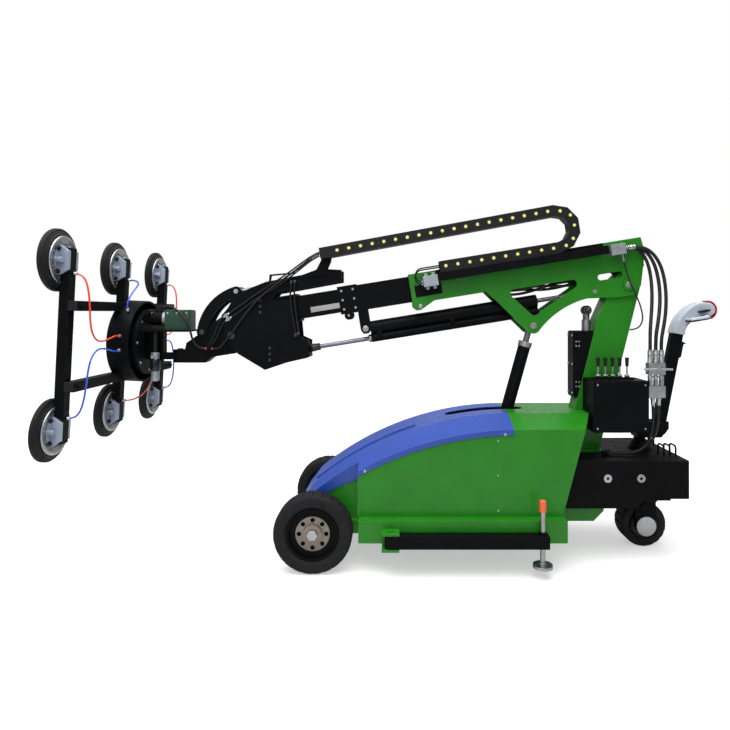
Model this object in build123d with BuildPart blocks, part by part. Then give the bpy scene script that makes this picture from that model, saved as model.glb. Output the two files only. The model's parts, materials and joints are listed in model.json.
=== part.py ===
from build123d import *
import os
from math import atan2, cos, degrees, hypot, pi, radians, sin, sqrt, tan

os.makedirs("parts", exist_ok=True)

# Driving dimensions in millimetres. +X points to the tiller, -Y is the left side, +Z is up.
# The origin is on the floor, under the middle of the trolley.

# Clearances
running_fit = 0.05
slide_gap = 0.4
moving_gap = 0.5
weld_gap = 0.2
swing_gap = 3.0

# Base frame
base_front = -268.0
base_rear = 787.0
base_half = 391.0
base_bottom = 155.0
base_top = 268.0
base_wall = 8.0
tray_half = 312.0
cross_reach = 45.0
cross_half = 285.0
cross_height = 70.0
tail_end = 1039.0
tail_bottom = 197.0
tail_half = 200.0
tail_corner = 55.0

# Front wheels
axle_x = -499.0
axle_radius = 20.0
axle_shoulder_radius = 30.0
front_tyre_radius = 200.0
front_tyre_width = 110.0
front_track_half = 354.0
tyre_bead_radius = 130.0
tyre_round = 26.0
tread_groove = 8.0
rim_wall = 9.0
rim_width = 92.0
rim_disc_inset = 34.0
hub_radius = 48.0
hub_inset = 14.0
hub_plate_radius = 87.0
hub_plate_height = 3.0
rim_hole_count = 8
rim_hole_radius = 11.0
rim_hole_circle = 69.0
axle_nut_radius = 27.0
axle_nut_height = 14.0

# Body covers
body_half = 328.0
deck_half = 172.0
deck_z = 772.0
bevel_drop = 57.0
panel_thickness = 4.0
panel_front = -276.0
panel_seam = 462.0
cover_rear_foot = 781.0
cover_rear_bulge = 53.0
cover_rear_slope = 0.266
hood_radius = 1720.0
hood_crest_x = 557.0
hood_rear = 530.0
hood_thickness = 5.0
hood_flange = 28.0
hood_knee_x = -518.0
hood_chin = (-588.0, 306.0)
hood_tip = (-630.0, 222.0)
nose_half = 250.0
nose_panel_front = -560.0
rib_half = 105.0
rib_height = 9.0
rib_end = 27.0
slot_half = 44.0
slot_front = 202.0
slot_rear = 643.0

# Rear housing, bushings and counterweights
housing_rear = 1363.0
housing_half = 274.0
housing_bottom = 290.0
housing_rear_bottom = 331.0
housing_step_x = 1180.0
housing_top = 540.0
housing_edge = 6.0
bushing_radius = 21.5
bushing_bore = 7.5
bushing_depth = 40.0
bushing_proud = 2.0
bushing_front_x = 1033.0
bushing_spacing = 175.0
bushing_z = 447.0
slab_count = 3
slab_thickness = 32.0
slab_bottom = 338.0
slab_edge = 5.0
slab_handle_y = 130.0
slab_handle_reach = 34.0
slab_handle_height = 52.0
slab_handle_radius = 5.0

# Mast
mast_lean = 14.1
mast_depth = 195.0
mast_half = 57.0
mast_wall = 12.0
mast_front_foot_x = 870.0
mast_shoulder_drop = 190.0
mast_head_radius = 70.0
mast_foot_plate = 14.0
mast_foot_flange = 38.0

# Boom pivot
pivot_x = 1222.0
pivot_z = 1472.0
pivot_pin_radius = 25.0
pivot_head_radius = 31.0
pivot_head_height = 8.0
boom_tilt = 9.2

# Tread and hub details
tread_count = 24
tread_pitch = 27.0
hub_bore = axle_radius + running_fit

# Stabilizers
beam_width = 60.0
beam_height = 62.0
beam_bottom = 150.0
beam_end = 681.0
beam_wall = 6.0
clevis_x = -105.0
clevis_length = 88.0
clevis_ear = 12.0
clevis_root = 45.0
clevis_pin_radius = 12.0
clevis_pin_head = 9.0
jack_x = 652.0
jack_sleeve_radius = 20.0
jack_sleeve_rise = 14.0
jack_radius = 12.5
jack_knob_bottom = 326.0
jack_knob_height = 58.0
jack_knob_radius = 17.0
jack_foot_radius = 48.5
jack_foot_height = 14.0
jack_foot_bottom = 51.0

# Lift cylinder
yoke_x = 437.0
yoke_z = 330.0
yoke_half = 60.0
yoke_tip_half = 34.0
yoke_plate = 14.0
yoke_gap_half = 52.0

# Cover seats
panel_top_gap = 2.0
nose_panel_gap = 6.0
nose_panel_top = 300.0
nose_flange_lip = 12.0
nose_flange_heel = 92.0
notch_gap = 4.0
mast_foot_length = 150.0

# Steering and tiller
steer_inset = 45.0
steer_x = housing_rear - steer_inset
column_radius = 32.0

# Boom plates
plate_inner = 65.0
plate_thickness = 12.0

# Electric box and control box
electric_box_front = 926.0
electric_box_bottom = 838.0
electric_box_top = 1213.0
electric_box_half = 56.0
electric_box_round = 6.0
lid_margin = 7.0
lid_thickness = 5.0
control_box_front = 973.0
control_box_rear = 1271.0
control_box_bottom = 676.0
control_box_top = 953.0
control_box_depth = 173.0
control_box_round = 8.0
screw_margin = 22.0
screw_radius = 5.0
screw_height = 3.0

# Control levers
lever_count = 5
lever_first_x = 1026.0
lever_pitch = 39.5
lever_y = -150.0
lever_rail_width = 44.0
lever_rail_height = 10.0
lever_roller_radius = 8.0
lever_roller_length = 22.0
lever_stem_radius = 4.5
lever_knob_bottom = 1023.0
lever_knob_height = 48.0
lever_knob_radius = 11.0
lever_knob_taper = 0.75

# Hydraulic fittings
coupling_count = 3
coupling_pitch = 30.0
coupling_inset = 26.0
coupling_block_length = 88.0
coupling_block_width = 44.0
coupling_block_height = 62.0
coupling_block_bottom = 862.0
coupling_valve_bottom = 985.0
coupling_radius = 10.0
coupling_body_height = 125.0
coupling_nut_radius = 14.0
coupling_nut_height = 34.0
coupling_ferrule_bottom = 1010.0
coupling_ferrule_radius = 13.0
coupling_top = 1116.0
filter_x = 1012.0
filter_radius = 25.0
filter_height = 62.0
filter_neck_radius = 20.0
filter_neck_height = 60.0
gauge_z = 1330.0
gauge_radius = 27.0
gauge_depth = 34.0
valve_hub_radius = 12.0
valve_hub_height = 26.0
valve_bar_radius = 5.5
valve_bar_length = 150.0

# Inner units
battery_x = -40.0
battery_length = 330.0
battery_width = 260.0
battery_height = 240.0
battery_round = 12.0
battery_post_radius = 9.0
battery_post_height = 16.0
tank_x = 650.0
tank_y = 165.0
tank_length = 210.0
tank_width = 200.0
tank_height = 190.0
tank_round = 14.0
pump_motor_radius = 62.0
pump_motor_height = 170.0
jack_knob_round = 7.0

# Drive wheel, fork and tiller
drive_tyre_radius = 125.0
drive_tyre_width = 120.0
drive_bead_radius = 78.0
drive_tyre_round = 14.0
drive_tread_count = 18
drive_axle_radius = 20.0
drive_cap_radius = 54.0
drive_cap_height = 8.0
leg_gap = 8.0
leg_thickness = 14.0
leg_half = 56.0
leg_boss_z = 216.0
leg_boss_radius = 34.0
leg_boss_height = 7.0
crown_gap = 6.0
crown_radius = 96.0
crown_thickness = 26.0
pedestal_radius = 68.0
pedestal_top_radius = 40.0
pedestal_height = 48.0
arm_bottom = 610.0
arm_top = 700.0
arm_gap = 8.0
ear_thickness = 14.0
tiller_reach = 105.0
tiller_x = steer_x + tiller_reach
tiller_z = 660.0
tiller_lean = 11.1
tiller_length = 545.0
tiller_width = 66.0
tiller_half = 26.0
tiller_round = 10.0
tiller_base_radius = 42.0
tiller_base_half = 30.0
tiller_pin_radius = 10.0
hook_bottom = 405.0
hook_top = 510.0
hook_reach = 16.0
hook_half = 9.0
head_reach = 162.0
head_rise = 136.0
head_belly = 52.0
head_slope = 10.0
head_end_radius = 43.0
head_half = 44.0
head_round = 12.0
grip_length = 96.0
grip_drop = 34.0
grip_reach = 72.0
grip_bend = 22.0
grip_radius = 12.0
button_stem = 10.0
button_stem_start = 12.0
button_travel = 5.0
button_thickness = 6.0
button_wrap = 24.0
button_half = 34.0
throttle_setback = 34.0
throttle_spindle = 6.0
throttle_length = 58.0
throttle_thickness = 12.0
throttle_width = 30.0

# Boom, in the boom's own directions: a runs back along the boom from the pivot, b runs up
section_2_height = 130.0
section_2_width = 95.0
section_2_wall = 8.0
section_1_wall = 7.0
boom_wall = 9.5
boom_axis = 171.0
boom_front = -1207.0
boom_rear = 110.0
boom_cap = 12.0
front_lug_drop = 42.0
front_lug_length = 125.0
gusset_front = -787.0
gusset_bow = (-420.0, -92.0)
gusset_rear = (-229.0, -38.0)
pivot_boss = 60.0
lift_pin_a = -561.0
lift_pin_b = -141.0
lift_pin_radius = 18.0
lift_pin_head = 6.0
lift_lug_front = (-32.0, -31.0)
lift_lug_low = (4.0, -44.0)
lift_lug_rear = (35.0, -26.0)
window_corners = ((-684.0, 78.0), (-549.0, -91.0), (-200.0, 78.0))
window_round = 24.0
rear_slot_a = -92.0
rear_slot_b = 66.0
rear_slot_length = 140.0
rear_slot_height = 34.0
anchor_pin_radius = 12.0
rod_anchor_a = -190.0
rod_eye_radius = 22.0
rod_eye_half = 20.0
rod_radius = 12.5
piston_a = -1180.0
piston_length = 26.0
cylinder_a_b = -8.0
barrel_a_radius = 37.5
barrel_a_bore = 29.0
barrel_b_radius = 24.0
barrel_b_bore = 17.5
barrel_overlap = 2.0
barrel_rear = -505.0
barrel_front = -1466.0
gland_length = 22.0
clamp_inset = 60.0
clamp_length = 24.0
section_1_front = -1614.0
section_1_rear = -350.0
collar_length = 109.0
collar_step = 6.0
collar_bolt_radius = 7.0
collar_bolt_height = 4.0
collar_lug_inset = 42.0
collar_lug_drop = 12.0
collar_lug_radius = 24.0
hanger_pin_a = -1491.0
hanger_pin_radius = 12.0
hanger_radius = 28.0
hanger_inner = 40.0
hanger_plate = 10.0
section_2_front = -1990.0
section_2_rear = -1060.0
head_piston_a = -1056.0
head_block_rear = -1826.0
rod_nut_radius = 17.0
rod_nut_length = 24.0
lift_eye_radius = 30.0
lift_eye_half = 26.0
lift_rod_radius = 17.5
lift_rod_length = 600.0
lift_bore = 27.0
lift_barrel_radius = 35.0
lift_barrel_start = 96.0
lift_gland_step = 4.0
lift_gland_length = 30.0

# Drag chain, tray and hose blocks on the boom's left side
chain_inside = 84.0
chain_width = 70.0
chain_height = 61.0
link_gap = 0.6
link_cheek = 9.0
link_bar = 9.0
bend_gap = 0.3
bend_links = 5
lower_links = 10
upper_links = 10
chain_lower_front = -1031.0
chain_lower_b = 263.0
chain_bend_a = -370.0
chain_bend_radius = 102.0
chain_upper_front = -1668.0
chain_upper_front_b = 440.0
tray_front = -1050.0
tray_rear = -106.0
tray_sheet = 4.0
tray_depth = 80.0
tray_wall = 22.0
tray_skirt = 46.0
front_block_a = -1092.0
front_block_b = 196.0
rear_block_a = -52.0
rear_block_b = 202.0
block_length = 80.0
block_height = 58.0
block_depth = 76.0
union_width = 17.0
union_length = 16.0
union_pitch = 40.0
hose_count = 3
hose_first_y = -95.0
hose_pitch = 20.0

# Suction head: bracket, tilt linkage and swing hinge, as X and Z places
head_inner = 60.0
tilt_a = (-1171.0, 1207.0)
tilt_b = (-1000.0, 1189.0)
tilt_c = (-979.0, 1436.0)
tilt_pin_radius = 20.0
tilt_knuckle_radius = 44.0
tilt_ear_radius = 34.0
head_outline = (
    (-1030.0, 1157.0), (-964.0, 1086.0), (-812.0, 995.0), (-687.0, 1037.0), (-573.0, 1063.0),
    (-566.0, 1159.0), (-617.0, 1182.0), (-636.0, 1387.0), (-772.0, 1387.0), (-748.0, 1424.0),
    (-382.0, 1490.0), (-382.0, 1556.0), (-509.0, 1563.0), (-603.0, 1528.0), (-805.0, 1490.0),
    (-905.0, 1450.0), (-992.0, 1394.0), (-1018.0, 1345.0), (-1056.0, 1300.0), (-1036.0, 1214.0),
)
head_bolt_groups = ((-838.0, 1352.0), (-785.0, 1085.0))
head_bolt_pitch = 34.0
head_bolt_radius = 8.0
chain_bracket_outline = (
    (-560.0, 1520.0), (-470.0, 1530.0), (-440.0, 1600.0), (-430.0, 1670.0), (-470.0, 1662.0),
    (-520.0, 1560.0),
)
rail_outline = (
    (-790.0, 1490.0), (-780.0, 1490.0), (-774.0, 1522.0), (-640.0, 1535.0), (-640.0, 1543.0),
    (-786.0, 1530.0),
)
rail_post = 10.0
sleeve_rear = -1842.0
head_block_height = 94.0
tilt_barrel_front = -1955.0
tilt_barrel_rear = -1592.0
tilt_barrel_radius = 26.0
tilt_bore = 21.0
tilt_rod_radius = 14.0
tilt_piston_a = -1800.0
tilt_half = 41.0
tilt_outline = (
    (-1200.0, 1190.0), (-1264.0, 1145.0), (-1272.0, 1106.0), (-1272.0, 1033.0), (-1157.0, 1033.0),
    (-1119.0, 1065.0), (-985.0, 1086.0), (-958.0, 1176.0), (-1000.0, 1280.0), (-1066.0, 1292.0),
    (-1134.0, 1242.0), (-1175.0, 1240.0),
)
link_inner = 42.0
link_width = 57.0
link_bow = (-1103.0, 1357.0)
link_pin_radius = 14.0
crosshead_radius = 26.0
swing_x = -1312.0
swing_pin_radius = 15.0
knuckle_radius = 38.0
fork_root = -1180.0
fork_bottom = 1033.0
fork_height = 73.0
fork_ear = 17.0
tongue_half = 26.0
head_x = -1656.0
head_z = 1160.0
head_lean = 2.7
bearing_x = -1490.0
web_x = -1400.0
shelf_x = -1240.0
shelf_z = 1219.0
shelf_sheet = 10.0
shelf_half = 90.0
bearing_radius = 185.0
bearing_sheet = 20.0
bearing_bolt_ring = 160.0
bearing_bolts = 8
gearbox_front = -1385.0
gearbox_rear = -1240.0
gearbox_half = 55.0
gearbox_height = 110.0
gearbox_round = 14.0
motor_length = 87.0
motor_radius = 36.0
motor_z = 1280.0
motor_collar_step = 5.0
collar_depth = 18.0
bowl_x = -1430.0
bowl_y = -64.0
bowl_radius = 23.0
bowl_bottom = 932.0
bowl_neck = 116.0
drum_front = 30.0
drum_rear = 150.0
drum_gap = 0.5
drum_radius = 230.0
drum_round = 14.0
drum_wall = 10.0
shaft_radius = 40.0

# Suction frame, in the head's own directions
bar_size = 48.0
bar_half = 462.0
bar_wall = 4.0
cross_y = 192.0
crossbar_half = 575.0
clamp_bolt_length = 14.0
cup_spread = 543.0
cup_y = 405.0
cup_depth = 28.0
cup_back = 26.0
disc_radius = 96.0
disc_step = 22.0
disc_sheet = 12.0
saddle_sheet = 16.0
saddle_long = 148.0
saddle_short = 87.0
ear_radius = 14.0
ear_height = 26.0
lip_radius = 150.0
lip_flare = 33.0
lip_sheet = 14.0
lip_front = 58.0

# Cords: diameters and route points
run_share = 0.45
hose_diameter = 19.0
thin_diameter = 8.0
tube_diameter = 9.0
cable_diameter = 12.0
hose_outer = (
    (1194, -135, 1672.1), (1256.8, -135, 1682.3), (1322, -140, 1654), (1366, -150, 1584), (1385, -162, 1494),
    (1387, -175, 1398), (1376, -189, 1300), (1355, -200, 1210), (1346, -204, 1170), (1346, -204, 1116.2),
)
hose_middle = (
    (1194, -115, 1672.1), (1248.9, -115, 1681), (1303, -120, 1655), (1341, -130, 1592), (1358, -143, 1510),
    (1360, -160, 1422), (1350, -178, 1338), (1332, -195, 1258), (1316, -204, 1186), (1316, -204, 1116.2),
)
hose_inner = (
    (1194, -95, 1672.1), (1241, -95, 1679.7), (1286, -100, 1654), (1314, -110, 1598), (1326, -122, 1525),
    (1326, -138, 1446), (1318, -156, 1366), (1305, -174, 1290), (1292, -192, 1222), (1286, -204, 1160),
    (1286, -204, 1116.2),
)
hose_thin = (
    (1174.7, -115, 1639.2), (1184.2, -115, 1580.4), (1212, -112, 1496), (1252, -106, 1418),
    (1284, -100, 1344), (1296, -98, 1280), (1278, -97, 1238), (1247, -90, 1222), (1240, -57.2, 1221),
)
tube_outer = (
    (543, 345, -24.2), (543, 345, -58), (541, 318, -86), (537, 262, -100), (531, 190, -105), (520, 118, -104),
    (495, 58, -103), (448, 20, -104), (386, 18, -106), (324, 32, -108), (268.6, 42.6, -110),
    (227.6, 36, -110),
)
tube_middle = (
    (0, 345, -24.2), (0, 345, -56), (12, 338, -88), (44, 322, -110), (92, 300, -118), (140, 268, -119),
    (172, 230, -116), (178.7, 191.6, -113), (157.2, 168.6, -112),
)
head_cable = (
    (-505, -112, 1638), (-548, -111, 1616), (-596, -105, 1580), (-655, -99, 1537), (-722, -95, 1490),
    (-790, -92, 1440), (-852, -91, 1385), (-905, -90, 1325), (-950, -90, 1262), (-998, -88, 1196),
    (-1046, -80, 1140), (-1070, -60, 1120), (-1090, -50, 1113.5), (-1117.6, -50, 1113),
)
rotator_cable = (
    (-1142.2, -50, 1113), (-1172, -50.5, 1113), (-1197, -64, 1130), (-1217, -76, 1166), (-1226, -80, 1212),
    (-1247, -80, 1264), (-1276, -76, 1308), (-1316, -66, 1340), (-1364, -52, 1353), (-1412, -41, 1345),
    (-1447.4, -36, 1324.6), (-1477, -36, 1326),
)
clip_front = -1142.0
clip_rear = -1118.0
clip_z = 1113.0
clip_height = 30.0
clip_depth = 21.0

# Places worked out from the dimensions above
axle_z = front_tyre_radius
base_mid = (base_front + base_rear) / 2
base_length = base_rear - base_front
side_names = {-1: "left", 1: "right"}
boom_angle = radians(boom_tilt)
boom_plane = Plane(
    origin=(pivot_x, 0, pivot_z), x_dir=(cos(boom_angle), 0, sin(boom_angle)), z_dir=(0, -1, 0)
)
wheel_axis = Axis((axle_x, 0, axle_z), (0, 1, 0))
stabilizer_y = base_half + swing_gap + beam_width / 2
cover_foot_rise = cover_rear_slope * (housing_bottom - base_top)
tail_step_x = cover_rear_foot + cover_rear_bulge + cover_foot_rise + moving_gap


def hood_z(x, drop):
    """Height of the hood's outer curve at x, with the whole curve lowered by drop."""
    return deck_z - drop - hood_radius + sqrt(hood_radius**2 - (hood_crest_x - x) ** 2)


# Base frame: welded tray with side rails, front cross member, tail, clevises and lift yoke
with BuildPart() as base_frame:
    with BuildSketch(Plane.XY.offset(base_bottom)):
        with Locations((base_mid, 0)):
            Rectangle(base_length, 2 * base_half)
    extrude(amount=base_top - base_bottom)
    with BuildSketch(Plane.XY.offset(base_top)):
        with Locations((base_mid, 0)):
            Rectangle(base_length - 2 * base_wall, 2 * tray_half)
    extrude(amount=base_wall + base_bottom - base_top, mode=Mode.SUBTRACT)
    with BuildSketch(Plane.XY.offset(axle_z - cross_height / 2)):
        with Locations(((base_front + axle_x - cross_reach) / 2, 0)):
            Rectangle(base_front - axle_x + cross_reach, 2 * cross_half)
    extrude(amount=cross_height)
    with BuildSketch(Plane.XZ):
        with Locations((axle_x, axle_z)):
            Circle(axle_radius)
    extrude(amount=cross_half, both=True, mode=Mode.SUBTRACT)
    with BuildSketch(Plane.XZ):
        with BuildLine():
            Polyline(
                (base_rear, tail_bottom),
                (tail_end - tail_corner, tail_bottom),
                (tail_end, tail_bottom + tail_corner),
                (tail_end, housing_bottom),
                (tail_step_x, housing_bottom),
                (tail_step_x, base_top),
                (base_rear, base_top),
                close=True,
            )
        make_face()
    extrude(amount=tail_half, both=True)
    for side in (-1, 1):
        ear_inner = side * (base_half - clevis_root)
        ear_outer = side * (stabilizer_y + beam_width / 2)
        with BuildSketch(Plane.XY.offset(beam_bottom - swing_gap - clevis_ear)):
            with Locations((clevis_x, (ear_inner + ear_outer) / 2)):
                Rectangle(clevis_length, abs(ear_outer - ear_inner))
        extrude(amount=clevis_ear)
        with BuildSketch(Plane.XY.offset(beam_bottom - swing_gap - clevis_ear)):
            with Locations((clevis_x, side * (base_half - clevis_root / 2))):
                Rectangle(clevis_length, clevis_root)
        extrude(amount=base_bottom - beam_bottom + swing_gap + clevis_ear)
        with BuildSketch(Plane.XY.offset(beam_bottom + beam_height + swing_gap)):
            with Locations((clevis_x, side * (base_half + (beam_width + swing_gap) / 2))):
                Rectangle(clevis_length, beam_width + swing_gap)
        extrude(amount=clevis_ear)
        with BuildSketch(Plane.XY.offset(beam_bottom - swing_gap - clevis_ear)):
            with Locations((clevis_x, side * stabilizer_y)):
                Circle(clevis_pin_radius)
        extrude(amount=beam_height + 2 * swing_gap + 2 * clevis_ear + clevis_pin_head)
        with BuildSketch(Plane.XZ.offset(-side * yoke_gap_half)):
            with BuildLine():
                Polyline(
                    (yoke_x - yoke_half, base_bottom + base_wall),
                    (yoke_x + yoke_half, base_bottom + base_wall),
                    (yoke_x + yoke_tip_half, yoke_z + yoke_tip_half),
                    (yoke_x - yoke_tip_half, yoke_z + yoke_tip_half),
                    close=True,
                )
            make_face()
        extrude(amount=-side * yoke_plate)
base_frame.part.label = "base_frame"
export_step(base_frame.part, "parts/base_frame.step")

# Front axle: fixed shaft through the cross member, with shoulders and end nuts
hub_outer = front_track_half + front_tyre_width / 2 - hub_inset
hub_inner = front_track_half - rim_width / 2
with BuildPart() as front_axle:
    with BuildSketch(Plane.XZ):
        with Locations((axle_x, axle_z)):
            Circle(axle_radius)
    extrude(amount=hub_outer + moving_gap, both=True)
    for side in (-1, 1):
        with BuildSketch(Plane.XZ.offset(-side * cross_half)):
            with Locations((axle_x, axle_z)):
                Circle(axle_shoulder_radius)
        extrude(amount=-side * (hub_inner - cross_half - moving_gap))
        with BuildSketch(Plane.XZ.offset(-side * (hub_outer + moving_gap))):
            with Locations((axle_x, axle_z)):
                RegularPolygon(axle_nut_radius, 6)
        extrude(amount=-side * axle_nut_height)
front_axle.part.label = "front_axle"
export_step(front_axle.part, "parts/front_axle.step")

# Front wheels: block-tread tyre on a dished steel rim, bolted hub plate with eight holes, hub on the axle
for side in (-1, 1):
    wheel_y = side * front_track_half
    disc_y = wheel_y + side * (front_tyre_width / 2 - rim_disc_inset)
    plate_y = disc_y + side * (rim_wall + hub_plate_height) / 2
    with BuildPart() as front_wheel:
        with BuildSketch(Plane.YZ.offset(axle_x)):
            with Locations((wheel_y, axle_z + (front_tyre_radius + tyre_bead_radius) / 2)):
                RectangleRounded(front_tyre_width, front_tyre_radius - tyre_bead_radius, tyre_round)
            with Locations(
                (wheel_y - tread_pitch, axle_z + front_tyre_radius),
                (wheel_y, axle_z + front_tyre_radius),
                (wheel_y + tread_pitch, axle_z + front_tyre_radius),
            ):
                Rectangle(tread_groove, 2 * tread_groove, mode=Mode.SUBTRACT)
        revolve(axis=wheel_axis)
        with BuildSketch(Plane.XZ.offset(-wheel_y)):
            with Locations((axle_x, axle_z)):
                with PolarLocations(front_tyre_radius, tread_count):
                    Rectangle(2 * tread_groove, tread_groove)
        extrude(amount=front_tyre_width / 2, both=True, mode=Mode.SUBTRACT)
        with BuildSketch(Plane.YZ.offset(axle_x)):
            with Locations((wheel_y, axle_z + tyre_bead_radius - weld_gap - rim_wall / 2)):
                Rectangle(rim_width, rim_wall)
            with Locations((disc_y, axle_z + (tyre_bead_radius - weld_gap + hub_radius) / 2)):
                Rectangle(rim_wall, tyre_bead_radius - weld_gap - hub_radius)
            with Locations((plate_y, axle_z + (hub_plate_radius + hub_radius) / 2)):
                Rectangle(hub_plate_height, hub_plate_radius - hub_radius)
            with Locations((side * (hub_outer + hub_inner) / 2, axle_z + (hub_radius + hub_bore) / 2)):
                Rectangle(hub_outer - hub_inner, hub_radius - hub_bore)
        revolve(axis=wheel_axis)
        with BuildSketch(Plane.XZ.offset(-disc_y)):
            with Locations((axle_x, axle_z)):
                with PolarLocations(rim_hole_circle, rim_hole_count):
                    Circle(rim_hole_radius)
        extrude(amount=rim_wall, both=True, mode=Mode.SUBTRACT)
    front_wheel.part.label = f"front_wheel_{side_names[side]}"
    export_step(front_wheel.part, f"parts/front_wheel_{side_names[side]}.step")


def hood_band(front, rear, drop, height):
    """Strip of hood between front and rear as a side sketch, lowered by drop and height tall."""
    middle = (front + rear) / 2
    with BuildSketch() as band:
        with BuildLine():
            ThreePointArc(
                (front, hood_z(front, drop)), (middle, hood_z(middle, drop)), (rear, hood_z(rear, drop))
            )
            Line((rear, hood_z(rear, drop)), (rear, hood_z(rear, drop + height)))
            ThreePointArc(
                (rear, hood_z(rear, drop + height)),
                (middle, hood_z(middle, drop + height)),
                (front, hood_z(front, drop + height)),
            )
            Line((front, hood_z(front, drop + height)), (front, hood_z(front, drop)))
        make_face()
    return band.sketch


def nose_band(drop, lip, heel):
    """Strip of hood nose from tip to panel_front as a side sketch, lip thick in front, heel behind."""
    middle = (hood_knee_x + panel_front) / 2
    knee = (hood_knee_x, hood_z(hood_knee_x, drop))
    inner_knee = (hood_knee_x + lip, hood_z(hood_knee_x, drop) - (lip + heel) / 2)
    inner_chin = (hood_chin[0] + 1.4 * lip, hood_chin[1] - drop - lip / 2)
    back = (panel_front, hood_z(panel_front, drop))
    inner_back = (panel_front, hood_z(panel_front, drop) - heel)
    tip = (hood_tip[0], hood_tip[1] - drop)
    inner_tip = (hood_tip[0] + 1.4 * lip, hood_tip[1] - drop)
    with BuildSketch() as band:
        with BuildLine():
            ThreePointArc(back, (middle, hood_z(middle, drop)), knee)
            Polyline(knee, (hood_chin[0], hood_chin[1] - drop), tip, inner_tip, inner_chin, inner_knee)
            ThreePointArc(
                inner_knee, (middle, hood_z(middle, drop) - (lip + 2 * heel) / 3), inner_back
            )
            Line(inner_back, back)
        make_face()
    return band.sketch


# Hood: bevelled blue sheet over the front body, narrow nose between the wheels, rib and cylinder slot
nose_drop = bevel_drop * (nose_half - deck_half) / (body_half - deck_half)
with BuildPart() as hood:
    with BuildSketch(Plane.XZ):
        add(hood_band(panel_front, hood_rear, 0, hood_thickness))
    extrude(amount=deck_half, both=True)
    with BuildSketch(Plane.XZ):
        add(nose_band(0, hood_thickness, hood_thickness))
    extrude(amount=deck_half, both=True)
    with BuildSketch(Plane.XZ):
        add(hood_band(hood_knee_x, rib_end, -rib_height, rib_height))
    extrude(amount=rib_half, both=True)
    for side in (-1, 1):
        with BuildSketch(Plane.XZ.offset(-side * deck_half)):
            add(hood_band(panel_front, hood_rear, 0, hood_thickness))
        with BuildSketch(Plane.XZ.offset(-side * body_half)):
            add(hood_band(panel_front, hood_rear, bevel_drop, hood_thickness))
        loft(ruled=True)
        with BuildSketch(Plane.XZ.offset(-side * body_half)):
            add(hood_band(panel_front, hood_rear, bevel_drop, hood_flange))
        extrude(amount=-side * hood_thickness)
        with BuildSketch(Plane.XZ.offset(-side * deck_half)):
            add(nose_band(0, hood_thickness, hood_thickness))
        with BuildSketch(Plane.XZ.offset(-side * nose_half)):
            add(nose_band(nose_drop, hood_thickness, hood_thickness))
        loft(ruled=True)
        with BuildSketch(Plane.XZ.offset(-side * nose_half)):
            add(nose_band(nose_drop, nose_flange_lip, nose_flange_heel))
        extrude(amount=-side * hood_thickness)
    with BuildSketch(Plane.XY.offset(base_top)):
        with Locations(((slot_front + slot_half + slot_rear) / 2, 0)):
            Rectangle(slot_rear - slot_front - slot_half, 2 * slot_half)
        with Locations((slot_front + slot_half, 0)):
            Circle(slot_half)
    extrude(amount=deck_z - base_top, mode=Mode.SUBTRACT)
hood.part.label = "hood"
export_step(hood.part, "parts/hood.step")

# Body panels: flat sides, their front returns, the narrow nose sides and the front plate
panel_drop = bevel_drop + hood_thickness + panel_top_gap
nose_panel_drop = nose_drop + hood_thickness + nose_panel_gap
cross_top = axle_z + cross_height / 2
panel_middle = (panel_front + panel_seam) / 2
with BuildPart() as body_panels:
    for side in (-1, 1):
        with BuildSketch(Plane.XZ.offset(-side * body_half)):
            with BuildLine():
                Polyline(
                    (panel_front, hood_z(panel_front, panel_drop)),
                    (panel_front, base_top),
                    (panel_seam, base_top),
                    (panel_seam, hood_z(panel_seam, panel_drop)),
                )
                ThreePointArc(
                    (panel_seam, hood_z(panel_seam, panel_drop)),
                    (panel_middle, hood_z(panel_middle, panel_drop)),
                    (panel_front, hood_z(panel_front, panel_drop)),
                )
            make_face()
        extrude(amount=side * panel_thickness)
        with BuildSketch(Plane.YZ.offset(panel_front)):
            with BuildLine():
                Polyline(
                    (side * nose_half, base_top),
                    (side * body_half, base_top),
                    (side * body_half, hood_z(panel_front, panel_drop)),
                    (side * nose_half, hood_z(panel_front, nose_panel_drop)),
                    close=True,
                )
            make_face()
        extrude(amount=panel_thickness)
        with BuildSketch(Plane.XZ.offset(-side * nose_half)):
            with BuildLine():
                Polyline(
                    (hood_knee_x, hood_z(hood_knee_x, nose_panel_drop + nose_panel_gap)),
                    (nose_panel_front, nose_panel_top),
                    (nose_panel_front, cross_top),
                    (panel_front, cross_top),
                    (panel_front, hood_z(panel_front, nose_panel_drop)),
                )
                ThreePointArc(
                    (panel_front, hood_z(panel_front, nose_panel_drop)),
                    (
                        (panel_front + hood_knee_x) / 2,
                        hood_z((panel_front + hood_knee_x) / 2, nose_panel_drop),
                    ),
                    (hood_knee_x, hood_z(hood_knee_x, nose_panel_drop + nose_panel_gap)),
                )
            make_face()
        extrude(amount=side * panel_thickness)
    with BuildSketch(Plane.YZ.offset(nose_panel_front)):
        with Locations((0, (cross_top + nose_panel_top) / 2)):
            Rectangle(2 * nose_half, nose_panel_top - cross_top)
    extrude(amount=panel_thickness)
body_panels.part.label = "body_panels"
export_step(body_panels.part, "parts/body_panels.step")


def mast_front(z):
    """X of the mast's leaning front face at height z."""
    return mast_front_foot_x + (z - housing_top) * tan(radians(mast_lean))


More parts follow.
